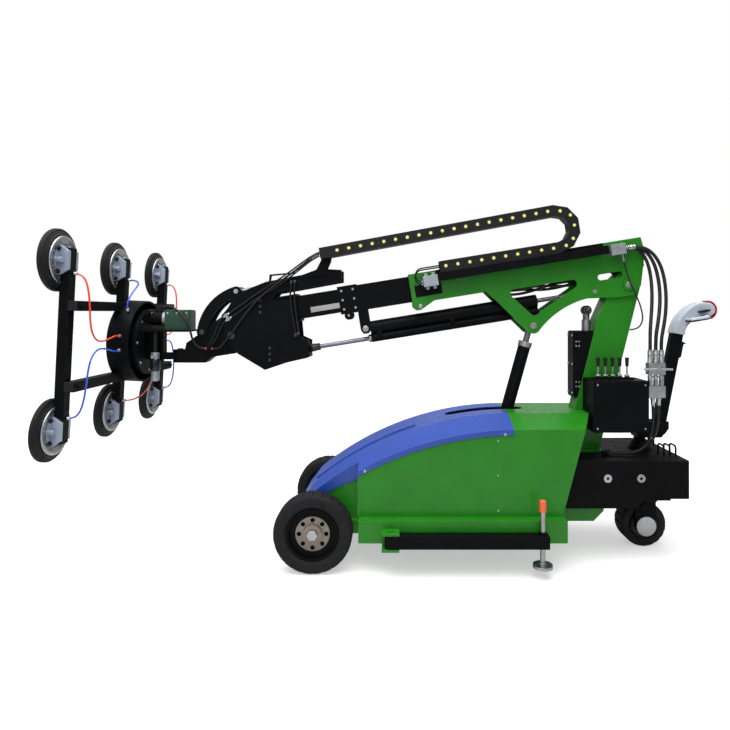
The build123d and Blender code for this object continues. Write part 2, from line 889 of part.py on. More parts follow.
def cover_block(inset, front, bottom):
    """Outer form of the rear cover from front to its boat-tail rear, every wall moved in by inset."""
    half = body_half - inset
    foot = cover_rear_foot - inset - cover_rear_slope * (base_top - bottom)
    rise = deck_z - bottom
    start = panel_front
    with BuildPart() as block:
        with BuildSketch(Plane.XY.offset(bottom)):
            with BuildLine():
                Polyline(
                    (start, -half),
                    (foot, -half),
                    (foot + cover_rear_bulge, -deck_half),
                    (foot + cover_rear_bulge, deck_half),
                    (foot, half),
                    (start, half),
                    close=True,
                )
            make_face()
        extrude(amount=rise * hypot(1, cover_rear_slope), dir=(cover_rear_slope, 0, 1))
        with BuildSketch(Plane.YZ.offset(front)):
            with BuildLine():
                Polyline(
                    (-half, bottom),
                    (half, bottom),
                    (half, deck_z - bevel_drop - inset),
                    (deck_half, deck_z - inset),
                    (-deck_half, deck_z - inset),
                    (-half, deck_z - bevel_drop - inset),
                    close=True,
                )
            make_face()
        extrude(amount=housing_rear - front, mode=Mode.INTERSECT)
    return block.part


# Rear cover: green deck, bevels, sides and slanted back, with the slot's rear end and a mast notch
with BuildPart() as rear_cover:
    add(cover_block(0, panel_seam, base_top))
    add(cover_block(panel_thickness, panel_front, base_top), mode=Mode.SUBTRACT)
    with BuildSketch(Plane.XY.offset(deck_z - panel_drop - panel_top_gap)):
        with Locations(((panel_front + hood_rear) / 2, 0)):
            Rectangle(hood_rear - panel_front, 2 * base_half)
    extrude(amount=panel_drop + panel_top_gap, mode=Mode.SUBTRACT)
    with BuildSketch(Plane.XY.offset(base_top)):
        with Locations(((slot_front + slot_rear - slot_half) / 2, 0)):
            Rectangle(slot_rear - slot_half - slot_front, 2 * slot_half)
        with Locations((slot_rear - slot_half, 0)):
            Circle(slot_half)
    extrude(amount=deck_z - base_top, mode=Mode.SUBTRACT)
    with BuildSketch(Plane.XZ):
        with BuildLine():
            Polyline(
                (mast_front(housing_bottom) - notch_gap, housing_bottom),
                (housing_rear, housing_bottom),
                (housing_rear, deck_z),
                (mast_front(deck_z) - notch_gap, deck_z),
                close=True,
            )
        make_face()
    extrude(amount=mast_half + notch_gap, both=True, mode=Mode.SUBTRACT)
rear_cover.part.label = "rear_cover"
export_step(rear_cover.part, "parts/rear_cover.step")

# Rear housing: heavy black block behind the cover, bored for the steering column and for its bushings
bushing_xs = (bushing_front_x, bushing_front_x + bushing_spacing)
with BuildPart() as rear_housing:
    with BuildSketch(Plane.XZ):
        with BuildLine():
            Polyline(
                (cover_rear_foot - cover_rear_bulge, housing_bottom),
                (housing_step_x, housing_bottom),
                (housing_step_x + housing_rear_bottom - housing_bottom, housing_rear_bottom),
                (housing_rear, housing_rear_bottom),
                (housing_rear, housing_top),
                (cover_rear_foot - cover_rear_bulge, housing_top),
                close=True,
            )
        make_face()
    extrude(amount=housing_half, both=True)
    top_edges = rear_housing.edges().filter_by(Axis.X).group_by(Axis.Z)[-1]
    fillet(top_edges, radius=housing_edge)
    add(cover_block(-moving_gap, panel_seam, base_top), mode=Mode.SUBTRACT)
    with BuildSketch(Plane.XY.offset(housing_bottom)):
        with Locations((steer_x, 0)):
            Circle(column_radius + running_fit)
    extrude(amount=housing_top - housing_bottom, mode=Mode.SUBTRACT)
    for side in (-1, 1):
        with BuildSketch(Plane.XZ.offset(-side * housing_half)):
            with Locations(*[(x, bushing_z) for x in bushing_xs]):
                Circle(bushing_radius + weld_gap)
        extrude(amount=side * (bushing_depth + weld_gap), mode=Mode.SUBTRACT)
        with BuildSketch(Plane.XZ.offset(-side * (housing_half + bushing_proud))):
            with Locations(*[(x, bushing_z) for x in bushing_xs]):
                Circle(bushing_radius)
                Circle(bushing_bore, mode=Mode.SUBTRACT)
        extrude(amount=side * (bushing_depth + bushing_proud))
rear_housing.part.label = "rear_housing"
export_step(rear_housing.part, "parts/rear_housing.step")

# Counterweight slabs: three plates hung behind the housing, each with two bar handles on top
with BuildPart() as counterweight_slabs:
    for index in range(slab_count):
        slab_x = housing_rear + weld_gap + index * slab_thickness
        with BuildSketch(Plane.YZ.offset(slab_x)):
            with Locations((0, (slab_bottom + housing_top) / 2)):
                Rectangle(2 * housing_half, housing_top - slab_bottom)
            chamfer(vertices(), length=slab_edge)
        extrude(amount=slab_thickness - weld_gap)
        for side in (-1, 1):
            handle_y = side * slab_handle_y
            with BuildLine(Plane.YZ.offset(slab_x + slab_thickness / 2)) as handle_path:
                FilletPolyline(
                    (handle_y - slab_handle_reach, housing_top),
                    (handle_y - slab_handle_reach, housing_top + slab_handle_height),
                    (handle_y + slab_handle_reach, housing_top + slab_handle_height),
                    (handle_y + slab_handle_reach, housing_top),
                    radius=slab_handle_reach / 2,
                )
            with BuildSketch(Plane(origin=handle_path.line @ 0, z_dir=handle_path.line % 0)):
                Circle(slab_handle_radius)
            sweep()
counterweight_slabs.part.label = "counterweight_slabs"
export_step(counterweight_slabs.part, "parts/counterweight_slabs.step")

# Mast: leaning welded box with a round head and the boom's pivot pin through it
mast_head_radius = (mast_front(pivot_z) + mast_depth - pivot_x) * cos(radians(mast_lean))
shoulder_z = pivot_z - mast_shoulder_drop
pin_half = plate_inner + plate_thickness + moving_gap
with BuildPart() as mast:
    with BuildSketch(Plane.XZ):
        with BuildLine():
            Polyline(
                (mast_front(housing_top), housing_top),
                (mast_front(housing_top) + mast_depth, housing_top),
                (mast_front(shoulder_z) + mast_depth, shoulder_z),
                (mast_front(shoulder_z), shoulder_z),
                close=True,
            )
        make_face()
        with Locations((pivot_x, pivot_z)):
            Circle(mast_head_radius)
        make_hull()
    extrude(amount=mast_half, both=True)
    with BuildSketch(Plane.XZ):
        with BuildLine():
            Polyline(
                (mast_front(housing_top) + mast_wall, housing_top),
                (mast_front(housing_top) + mast_depth - mast_wall, housing_top),
                (mast_front(shoulder_z) + mast_depth - mast_wall, shoulder_z),
                (mast_front(shoulder_z) + mast_wall, shoulder_z),
                close=True,
            )
        make_face()
    extrude(amount=mast_half - mast_wall, both=True, mode=Mode.SUBTRACT)
    for side in (-1, 1):
        with BuildSketch(Plane.XY.offset(housing_top)):
            with Locations((mast_front(housing_top) + mast_depth - mast_foot_length / 2,
                            side * (mast_half + mast_foot_flange / 2))):
                Rectangle(mast_foot_length, mast_foot_flange)
        extrude(amount=mast_foot_plate)
    with BuildSketch(Plane.XZ):
        with Locations((pivot_x, pivot_z)):
            Circle(pivot_pin_radius)
    extrude(amount=pin_half, both=True)
    for side in (-1, 1):
        with BuildSketch(Plane.XZ.offset(-side * pin_half)):
            with Locations((pivot_x, pivot_z)):
                Circle(pivot_head_radius)
        extrude(amount=-side * pivot_head_height)
mast.part.label = "mast"
export_step(mast.part, "parts/mast.step")

# Electric box: black cabinet with a lid, its back cut to the mast's lean
with BuildPart() as electric_box:
    with BuildSketch(Plane.XZ):
        with BuildLine():
            Polyline(
                (electric_box_front, electric_box_bottom),
                (mast_front(electric_box_bottom), electric_box_bottom),
                (mast_front(electric_box_top), electric_box_top),
                (electric_box_front, electric_box_top),
                close=True,
            )
        make_face()
    extrude(amount=electric_box_half, both=True)
    lid_edges = electric_box.edges().filter_by(Axis.Z)
    fillet(lid_edges, radius=electric_box_round)
    with BuildSketch(Plane.YZ.offset(electric_box_front)):
        with Locations((0, (electric_box_bottom + electric_box_top) / 2)):
            RectangleRounded(
                2 * electric_box_half - 2 * lid_margin,
                electric_box_top - electric_box_bottom - 2 * lid_margin,
                electric_box_round,
            )
    extrude(amount=-lid_thickness)
electric_box.part.label = "electric_box"
export_step(electric_box.part, "parts/electric_box.step")

# Control box: black valve cabinet on the mast's left side, with a screwed front lid and a top rail
control_box_mid = (control_box_front + control_box_rear) / 2
control_box_length = control_box_rear - control_box_front
control_box_height = control_box_top - control_box_bottom
screw_dx = control_box_length / 2 - screw_margin
screw_dz = control_box_height / 2 - screw_margin
with BuildPart() as control_box:
    with BuildSketch(Plane.XZ.offset(mast_half)):
        with Locations((control_box_mid, (control_box_bottom + control_box_top) / 2)):
            RectangleRounded(control_box_length, control_box_height, control_box_round)
    extrude(amount=control_box_depth - lid_thickness)
    with BuildSketch(Plane.XZ.offset(mast_half + control_box_depth - lid_thickness)):
        with Locations((control_box_mid, (control_box_bottom + control_box_top) / 2)):
            RectangleRounded(
                control_box_length - 2 * lid_margin, control_box_height - 2 * lid_margin, control_box_round
            )
    extrude(amount=lid_thickness)
    with BuildSketch(Plane.XZ.offset(mast_half + control_box_depth)):
        with Locations((control_box_mid, (control_box_bottom + control_box_top) / 2)):
            with GridLocations(2 * screw_dx, 2 * screw_dz, 2, 2):
                Circle(screw_radius)
    extrude(amount=screw_height)
    with BuildSketch(Plane.XY.offset(control_box_top)):
        with Locations((lever_first_x + (lever_count - 1) * lever_pitch / 2, lever_y)):
            Rectangle(lever_count * lever_pitch + lever_pitch / 2, lever_rail_width)
    extrude(amount=lever_rail_height)
control_box.part.label = "control_box"
export_step(control_box.part, "parts/control_box.step")

# Control levers: five spring-centred stems with black grips, each on a cross roller on the rail
lever_axis_z = control_box_top + lever_rail_height + moving_gap + lever_roller_radius
for index in range(lever_count):
    lever_x = lever_first_x + index * lever_pitch
    with BuildPart() as control_lever:
        with BuildSketch(Plane.YZ.offset(lever_x - lever_roller_length / 2)):
            with Locations((lever_y, lever_axis_z)):
                Circle(lever_roller_radius)
        extrude(amount=lever_roller_length)
        with BuildSketch(Plane.XY.offset(lever_axis_z)):
            with Locations((lever_x, lever_y)):
                Circle(lever_stem_radius)
        extrude(amount=lever_knob_bottom - lever_axis_z)
        with BuildSketch(Plane.XY.offset(lever_knob_bottom)):
            with Locations((lever_x, lever_y)):
                Circle(lever_knob_radius * lever_knob_taper)
        with BuildSketch(Plane.XY.offset(lever_knob_bottom + lever_knob_height)):
            with Locations((lever_x, lever_y)):
                Circle(lever_knob_radius)
        loft()
    control_lever.part.label = f"control_lever_{index + 1}"
    export_step(control_lever.part, f"parts/control_lever_{index + 1}.step")

# Hydraulic fittings: couplings, hose block and valve behind the control box, filter post and gauge
coupling_y = -(mast_half + control_box_depth - coupling_inset)
valve_z = coupling_valve_bottom + coupling_block_height / 2
with BuildPart() as hydraulic_fittings:
    for block_bottom in (coupling_block_bottom, coupling_valve_bottom):
        with BuildSketch(Plane.XY.offset(block_bottom)):
            with Locations((control_box_rear + coupling_block_length / 2, coupling_y)):
                Rectangle(coupling_block_length, coupling_block_width)
        extrude(amount=coupling_block_height)
    for index in range(coupling_count):
        coupling_x = control_box_rear + coupling_pitch * (index + 0.5)
        with BuildSketch(Plane.XY.offset(coupling_block_bottom + coupling_block_height)):
            with Locations((coupling_x, coupling_y)):
                Circle(coupling_radius)
        extrude(amount=coupling_body_height)
        with BuildSketch(Plane.XY.offset(coupling_block_bottom + coupling_block_height)):
            with Locations((coupling_x, coupling_y)):
                RegularPolygon(coupling_nut_radius, 6)
        extrude(amount=coupling_nut_height)
        with BuildSketch(Plane.XY.offset(coupling_ferrule_bottom)):
            with Locations((coupling_x, coupling_y)):
                Circle(coupling_ferrule_radius)
        extrude(amount=coupling_top - coupling_ferrule_bottom)
    with BuildSketch(Plane.XY.offset(electric_box_top)):
        with Locations((filter_x, 0)):
            Circle(filter_radius)
    extrude(amount=filter_height)
    with BuildSketch(Plane.XY.offset(electric_box_top + filter_height)):
        with Locations((filter_x, 0)):
            RegularPolygon(filter_neck_radius, 6)
    extrude(amount=filter_neck_height)
    with BuildSketch(Plane.XZ.offset(gauge_depth / 2 - gauge_depth)):
        with Locations((filter_x, gauge_z)):
            Circle(gauge_radius)
    extrude(amount=gauge_depth)
hydraulic_fittings.part.label = "hydraulic_fittings"
export_step(hydraulic_fittings.part, "parts/hydraulic_fittings.step")

# Valve handle: T-bar on a cross spindle in front of the hand valve
handle_x = control_box_rear + coupling_block_length / 2
handle_y = coupling_y - coupling_block_width / 2 - moving_gap
with BuildPart() as valve_handle:
    with BuildSketch(Plane.XZ.offset(-handle_y)):
        with Locations((handle_x, valve_z)):
            Circle(valve_hub_radius)
    extrude(amount=valve_hub_height)
    with BuildSketch(Plane.YZ.offset(handle_x - valve_bar_length / 2)):
        with Locations((handle_y - valve_hub_height / 2, valve_z)):
            Circle(valve_bar_radius)
    extrude(amount=valve_bar_length)
valve_handle.part.label = "valve_handle"
export_step(valve_handle.part, "parts/valve_handle.step")

# Inner units on the base tray: battery pack and hydraulic power unit
tray_floor = base_bottom + base_wall
with BuildPart() as battery_pack:
    with BuildSketch(Plane.XY.offset(tray_floor)):
        with Locations((battery_x, 0)):
            with GridLocations(battery_length + weld_gap, battery_width + weld_gap, 1, 2):
                RectangleRounded(battery_length, battery_width, battery_round)
    extrude(amount=battery_height)
    with BuildSketch(Plane.XY.offset(tray_floor + battery_height)):
        with Locations((battery_x, 0)):
            with GridLocations(battery_length / 2, battery_width, 2, 2):
                Circle(battery_post_radius)
    extrude(amount=battery_post_height)
battery_pack.part.label = "battery_pack"
export_step(battery_pack.part, "parts/battery_pack.step")

with BuildPart() as hydraulic_power_unit:
    with BuildSketch(Plane.XY.offset(tray_floor)):
        with Locations((tank_x, tank_y)):
            RectangleRounded(tank_length, tank_width, tank_round)
    extrude(amount=tank_height)
    with BuildSketch(Plane.XY.offset(tray_floor + tank_height)):
        with Locations((tank_x, tank_y)):
            Circle(pump_motor_radius)
    extrude(amount=pump_motor_height)
hydraulic_power_unit.part.label = "hydraulic_power_unit"
export_step(hydraulic_power_unit.part, "parts/hydraulic_power_unit.step")

# Drive fork: steering column in the housing, pedestal, tiller ears, crown and the legs round the wheel
drive_z = drive_tyre_radius
leg_inner = drive_tyre_width / 2 + leg_gap
leg_outer = leg_inner + leg_thickness
crown_bottom = 2 * drive_tyre_radius + crown_gap
ear_inner_y = tiller_base_half + moving_gap
with BuildPart() as drive_fork:
    with BuildSketch(Plane.XY.offset(crown_bottom)):
        with Locations((steer_x, 0)):
            Circle(crown_radius)
    extrude(amount=crown_thickness)
    with BuildSketch(Plane.XY.offset(crown_bottom)):
        with Locations((steer_x, 0)):
            Circle(column_radius)
    extrude(amount=arm_top - crown_bottom)
    with BuildSketch(Plane.XY.offset(housing_top + moving_gap)):
        with Locations((steer_x, 0)):
            Circle(pedestal_radius)
    with BuildSketch(Plane.XY.offset(housing_top + moving_gap + pedestal_height)):
        with Locations((steer_x, 0)):
            Circle(pedestal_top_radius)
    loft()
    with BuildSketch(Plane.XY.offset(arm_bottom)):
        with Locations(((steer_x - column_radius + tiller_x - tiller_base_radius) / 2 - arm_gap / 2, 0)):
            Rectangle(
                tiller_x - tiller_base_radius - arm_gap - steer_x + column_radius,
                2 * (ear_inner_y + ear_thickness),
            )
    extrude(amount=arm_top - arm_bottom)
    for side in (-1, 1):
        with BuildSketch(Plane.XZ.offset(-side * ear_inner_y)):
            with BuildLine():
                Polyline(
                    (steer_x, arm_bottom),
                    (tiller_x, arm_bottom),
                    (tiller_x + tiller_base_radius, tiller_z),
                    (tiller_x + tiller_base_radius, arm_top),
                    (steer_x, arm_top),
                    close=True,
                )
            make_face()
        extrude(amount=-side * ear_thickness)
        with BuildSketch(Plane.XZ.offset(-side * leg_inner)):
            with Locations((steer_x, (drive_z + crown_bottom + crown_thickness) / 2)):
                Rectangle(2 * leg_half, crown_bottom + crown_thickness - drive_z)
            with Locations((steer_x, drive_z)):
                Circle(leg_half)
                Circle(drive_axle_radius + running_fit, mode=Mode.SUBTRACT)
        extrude(amount=-side * leg_thickness)
        with BuildSketch(Plane.XZ.offset(-side * leg_outer)):
            with Locations((steer_x, leg_boss_z)):
                Circle(leg_boss_radius)
        extrude(amount=-side * leg_boss_height)
    with BuildSketch(Plane.XZ):
        with Locations((tiller_x, tiller_z)):
            Circle(tiller_pin_radius)
    extrude(amount=ear_inner_y + ear_thickness, both=True)
drive_fork.part.label = "drive_fork"
export_step(drive_fork.part, "parts/drive_fork.step")

# Drive wheel: block-tread tyre on a hub, axle through the fork legs and a cap on each side
drive_axis = Axis((steer_x, 0, drive_z), (0, 1, 0))
with BuildPart() as drive_wheel:
    with BuildSketch(Plane.YZ.offset(steer_x)):
        with Locations((0, drive_z + (drive_tyre_radius + drive_bead_radius) / 2)):
            RectangleRounded(drive_tyre_width, drive_tyre_radius - drive_bead_radius, drive_tyre_round)
    revolve(axis=drive_axis)
    with BuildSketch(Plane.XZ):
        with Locations((steer_x, drive_z)):
            with PolarLocations(drive_tyre_radius, drive_tread_count):
                Rectangle(2 * tread_groove, tread_groove)
    extrude(amount=drive_tyre_width / 2, both=True, mode=Mode.SUBTRACT)
    with BuildSketch(Plane.XZ):
        with Locations((steer_x, drive_z)):
            Circle(drive_bead_radius - weld_gap)
    extrude(amount=drive_tyre_width / 2, both=True)
    with BuildSketch(Plane.XZ):
        with Locations((steer_x, drive_z)):
            Circle(drive_axle_radius)
    extrude(amount=leg_outer + moving_gap, both=True)
    for side in (-1, 1):
        with BuildSketch(Plane.XZ.offset(-side * (leg_outer + moving_gap))):
            with Locations((steer_x, drive_z)):
                Circle(drive_cap_radius)
        extrude(amount=-side * drive_cap_height)
drive_wheel.part.label = "drive_wheel"
export_step(drive_wheel.part, "parts/drive_wheel.step")

# Tiller arm: folding black arm on a round base between the ears, with a small hook near the top
tiller_angle = radians(tiller_lean)
tiller_plane = Plane(
    origin=(tiller_x, 0, tiller_z),
    x_dir=(cos(tiller_angle), 0, -sin(tiller_angle)),
    z_dir=(0, -1, 0),
)
with BuildPart() as tiller_arm:
    with BuildSketch(tiller_plane):
        with Locations((0, tiller_length / 2)):
            Rectangle(tiller_width, tiller_length)
    extrude(amount=tiller_half, both=True)
    arm_edges = tiller_arm.edges().filter_by(GeomType.LINE).filter_by(
        lambda edge: abs(edge.length - tiller_length) < 1
    )
    fillet(arm_edges, radius=tiller_round)
    with BuildSketch(tiller_plane):
        Circle(tiller_base_radius)
    extrude(amount=tiller_base_half, both=True)
    with BuildSketch(tiller_plane):
        Circle(tiller_pin_radius + running_fit)
    extrude(amount=tiller_base_half, both=True, mode=Mode.SUBTRACT)
    with BuildSketch(tiller_plane):
        with BuildLine():
            Polyline(
                (tiller_width / 2, hook_bottom),
                (tiller_width / 2 + hook_reach, hook_bottom + hook_reach),
                (tiller_width / 2 + hook_reach, hook_top - hook_reach),
                (tiller_width / 2 + 2 * hook_reach, hook_top - hook_reach / 2),
                (tiller_width / 2, hook_top),
                close=True,
            )
        make_face()
    extrude(amount=hook_half, both=True)
tiller_arm.part.label = "tiller_arm"
export_step(tiller_arm.part, "parts/tiller_arm.step")

# Tiller head: curved grey casting with two loop grips, a socket for the stop button and a throttle bore
neck = tiller_plane.from_local_coords(Vector(0, tiller_length, 0))
neck_front = tiller_plane.from_local_coords(Vector(-tiller_width / 2, tiller_length, 0))
neck_rear = tiller_plane.from_local_coords(Vector(tiller_width / 2, tiller_length, 0))
head_end = Vector(neck.X + head_reach, 0, neck.Z + head_rise)
head_dir = Vector(cos(radians(head_slope)), 0, sin(radians(head_slope)))
head_up = Vector(-sin(radians(head_slope)), 0, cos(radians(head_slope)))
throttle_place = head_end - head_dir * throttle_setback
with BuildPart() as tiller_head:
    with BuildSketch(Plane.XZ):
        with BuildLine():
            ThreePointArc(
                (neck_front.X, neck_front.Z),
                (neck_front.X + head_belly, neck.Z + head_rise * 0.86),
                (head_end.X - head_belly, head_end.Z + head_end_radius),
            )
            Line(
                (head_end.X - head_belly, head_end.Z + head_end_radius),
                (head_end.X, head_end.Z + head_end_radius),
            )
            ThreePointArc(
                (head_end.X, head_end.Z + head_end_radius),
                (head_end.X + head_end_radius, head_end.Z),
                (head_end.X, head_end.Z - head_end_radius),
            )
            Line(
                (head_end.X, head_end.Z - head_end_radius),
                (neck.X + tiller_width, neck.Z + tiller_width),
            )
            ThreePointArc(
                (neck.X + tiller_width, neck.Z + tiller_width),
                (neck.X + tiller_width * 0.66, neck.Z + tiller_width * 0.62),
                (neck_rear.X, neck_rear.Z),
            )
            Line((neck_rear.X, neck_rear.Z), (neck_front.X, neck_front.Z))
        make_face()
    extrude(amount=head_half, both=True)
    head_rims = tiller_head.edges().filter_by(Axis.Y, reverse=True)
    fillet(head_rims.filter_by(lambda edge: edge.center().Z > neck_front.Z + 1), radius=head_round)
    for side in (-1, 1):
        grip_root = throttle_place - head_dir * grip_length - head_up * grip_drop
        grip_tip = throttle_place - head_up * grip_drop
        grip_root.Y = side * (head_half - head_round)
        grip_tip.Y = side * (head_half - head_round)
        out = Vector(0, side * grip_reach, 0)
        with BuildLine() as grip_path:
            FilletPolyline(grip_root, grip_root + out, grip_tip + out, grip_tip, radius=grip_bend)
        with BuildSketch(Plane(origin=grip_path.line @ 0, z_dir=grip_path.line % 0)):
            Circle(grip_radius)
        sweep()
    with BuildSketch(Plane(origin=head_end, x_dir=(0, 1, 0), z_dir=head_dir)):
        Rectangle(2 * (button_stem + moving_gap), 2 * (button_stem + moving_gap))
    extrude(amount=head_end_radius + 1, mode=Mode.SUBTRACT)
    with BuildSketch(Plane.XZ):
        with Locations((throttle_place.X, throttle_place.Z)):
            Circle(throttle_spindle + running_fit)
    extrude(amount=head_half, both=True, mode=Mode.SUBTRACT)
tiller_head.part.label = "tiller_head"
export_step(tiller_head.part, "parts/tiller_head.step")

# Tiller button: red belly plate round the head's end, on a square stem that slides in the socket
button_inner = head_end_radius + button_travel + moving_gap
with BuildPart() as tiller_button:
    with BuildSketch(Plane(origin=head_end, x_dir=head_dir, z_dir=(0, -1, 0))):
        Circle(button_inner + button_thickness)
        Circle(button_inner, mode=Mode.SUBTRACT)
        with Locations((-button_inner, 0)):
            Rectangle(2 * button_inner + button_wrap, 4 * button_inner, mode=Mode.SUBTRACT)
    extrude(amount=button_half, both=True)
    with BuildSketch(Plane(origin=head_end + head_dir * button_stem_start, x_dir=(0, 1, 0), z_dir=head_dir)):
        Rectangle(2 * button_stem, 2 * button_stem)
    extrude(amount=button_inner + button_thickness / 2 - button_stem_start)
tiller_button.part.label = "tiller_button"
export_step(tiller_button.part, "parts/tiller_button.step")

# Tiller throttle: spindle through the head with a thumb wing on each side
with BuildPart() as tiller_throttle:
    with BuildSketch(Plane.XZ):
        with Locations((throttle_place.X, throttle_place.Z)):
            Circle(throttle_spindle)
    extrude(amount=head_half + moving_gap, both=True)
    for side in (-1, 1):
        with BuildSketch(
            Plane(
                origin=(throttle_place.X, side * (head_half + moving_gap), throttle_place.Z),
                x_dir=head_dir,
                z_dir=(0, side, 0),
            )
        ):
            SlotOverall(throttle_length, throttle_thickness)
        extrude(amount=throttle_width)
tiller_throttle.part.label = "tiller_throttle"
export_step(tiller_throttle.part, "parts/tiller_throttle.step")

# Stabilizers: square beams that swing out on the clevis pins, each with a screw jack at its free end
beam_top = beam_bottom + beam_height
for side in (-1, 1):
    beam_y = side * stabilizer_y
    with BuildPart() as stabilizer_beam:
        with BuildSketch(Plane.XY.offset(beam_bottom)):
            with Locations(((clevis_x + beam_end) / 2, beam_y)):
                Rectangle(beam_end - clevis_x, beam_width)
            with Locations((clevis_x, beam_y)):
                Circle(beam_width / 2)
        extrude(amount=beam_height)
        with BuildSketch(Plane.YZ.offset(beam_end)):
            with Locations((beam_y, beam_bottom + beam_height / 2)):
                Rectangle(beam_width - 2 * beam_wall, beam_height - 2 * beam_wall)
        extrude(amount=-(beam_end - clevis_x - beam_width), mode=Mode.SUBTRACT)
        with BuildSketch(Plane.XY.offset(beam_bottom)):
            with Locations((jack_x, beam_y)):
                Circle(jack_sleeve_radius)
        extrude(amount=beam_height + jack_sleeve_rise)
        with BuildSketch(Plane.XY.offset(beam_bottom)):
            with Locations((jack_x, beam_y)):
                Circle(jack_radius + running_fit)
            with Locations((clevis_x, beam_y)):
                Circle(clevis_pin_radius + running_fit)
        extrude(amount=beam_height + jack_sleeve_rise, mode=Mode.SUBTRACT)
    stabilizer_beam.part.label = f"stabilizer_beam_{side_names[side]}"
    export_step(stabilizer_beam.part, f"parts/stabilizer_beam_{side_names[side]}.step")

    with BuildPart() as stabilizer_jack:
        with BuildSketch(Plane.XY.offset(jack_foot_bottom)):
            with Locations((jack_x, beam_y)):
                Circle(jack_foot_radius)
        extrude(amount=jack_foot_height)
        with BuildSketch(Plane.XY.offset(jack_foot_bottom + jack_foot_height)):
            with Locations((jack_x, beam_y)):
                Circle(jack_sleeve_radius)
        extrude(amount=jack_foot_height)
        with BuildSketch(Plane.XY.offset(jack_foot_bottom)):
            with Locations((jack_x, beam_y)):
                Circle(jack_radius)
        extrude(amount=jack_knob_bottom - jack_foot_bottom)
        with BuildSketch(Plane.XY.offset(jack_knob_bottom)):
            with Locations((jack_x, beam_y)):
                Circle(jack_knob_radius)
        extrude(amount=jack_knob_height)
        knob_rims = stabilizer_jack.edges().filter_by(GeomType.CIRCLE).group_by(Axis.Z)[-1]
        fillet(knob_rims, radius=jack_knob_round)
    stabilizer_jack.part.label = f"stabilizer_jack_{side_names[side]}"
    export_step(stabilizer_jack.part, f"parts/stabilizer_jack_{side_names[side]}.step")

# Boom: outer box tube between two cut side plates, with lift gusset, window, slot and front lugs
section_1_height = section_2_height + 2 * slide_gap + 2 * section_1_wall
section_1_width = section_2_width + 2 * slide_gap + 2 * section_1_wall
boom_height = section_1_height + 2 * slide_gap + 2 * boom_wall
boom_width = section_1_width + 2 * slide_gap + 2 * boom_wall
plate_inside = boom_width / 2 + weld_gap
plate_outside = plate_inside + plate_thickness
boom_low = boom_axis - boom_height / 2
boom_high = boom_axis + boom_height / 2
boom_middle = (boom_front + boom_rear) / 2
lug_front = (lift_pin_a + lift_lug_front[0], lift_pin_b + lift_lug_front[1])
lug_low = (lift_pin_a + lift_lug_low[0], lift_pin_b + lift_lug_low[1])
lug_rear = (lift_pin_a + lift_lug_rear[0], lift_pin_b + lift_lug_rear[1])
with BuildPart() as boom:
    with BuildSketch(boom_plane):
        with Locations((boom_middle, boom_axis)):
            Rectangle(boom_rear - boom_front, boom_height)
    extrude(amount=boom_width / 2, both=True)
    with BuildSketch(boom_plane):
        with Locations((boom_middle, boom_axis)):
            Rectangle(boom_rear - boom_front, section_1_height + 2 * slide_gap)
    extrude(amount=section_1_width / 2 + slide_gap, both=True, mode=Mode.SUBTRACT)
    with BuildSketch(boom_plane):
        with Locations((boom_rear - boom_cap / 2, boom_axis)):
            Rectangle(boom_cap, boom_height)
    extrude(amount=boom_width / 2, both=True)
    for side in (-1, 1):
        with BuildSketch(boom_plane.offset(-side * plate_inside)):
            with BuildLine():
                Polyline(
                    (boom_front, boom_high),
                    (boom_front, boom_low - front_lug_drop / 2),
                    (boom_front + front_lug_drop / 2, boom_low - front_lug_drop),
                    (boom_front + front_lug_drop, boom_low - front_lug_drop),
                    (boom_front + front_lug_length, boom_low),
                    (gusset_front, boom_low),
                    lug_front,
                )
                ThreePointArc(lug_front, lug_low, lug_rear)
                ThreePointArc(lug_rear, gusset_bow, gusset_rear)
                Polyline(
                    gusset_rear,
                    (-pivot_boss, -pivot_boss),
                    (pivot_boss / 3, -pivot_boss),
                    (pivot_boss + boom_wall, -pivot_boss / 4),
                    (boom_rear + plate_thickness, boom_axis),
                    (boom_rear, boom_high),
                    (boom_front, boom_high),
                )
            make_face()
            with BuildLine():
                FilletPolyline(*window_corners, radius=window_round, close=True)
            make_face(mode=Mode.SUBTRACT)
            with Locations(Location((rear_slot_a, rear_slot_b))):
                SlotOverall(rear_slot_length, rear_slot_height, mode=Mode.SUBTRACT)
            Circle(pivot_pin_radius + running_fit, mode=Mode.SUBTRACT)
            with Locations((lift_pin_a, lift_pin_b)):
                Circle(lift_pin_radius, mode=Mode.SUBTRACT)
        extrude(amount=-side * plate_thickness)
    with BuildSketch(boom_plane):
        with Locations((lift_pin_a, lift_pin_b)):
            Circle(lift_pin_radius)
    extrude(amount=plate_outside + lift_pin_head, both=True)
    with BuildSketch(boom_plane):
        with Locations((rod_anchor_a, cylinder_a_b)):
            Circle(anchor_pin_radius)
    extrude(amount=plate_outside + lift_pin_head, both=True)
boom.part.label = "boom"
export_step(boom.part, "parts/boom.step")


def along_boom(a, b):
    """Plane square to the boom at local place a, b, facing the boom's front end."""
    return Plane(origin=boom_plane.from_local_coords((a, b)), z_dir=-boom_plane.x_dir)


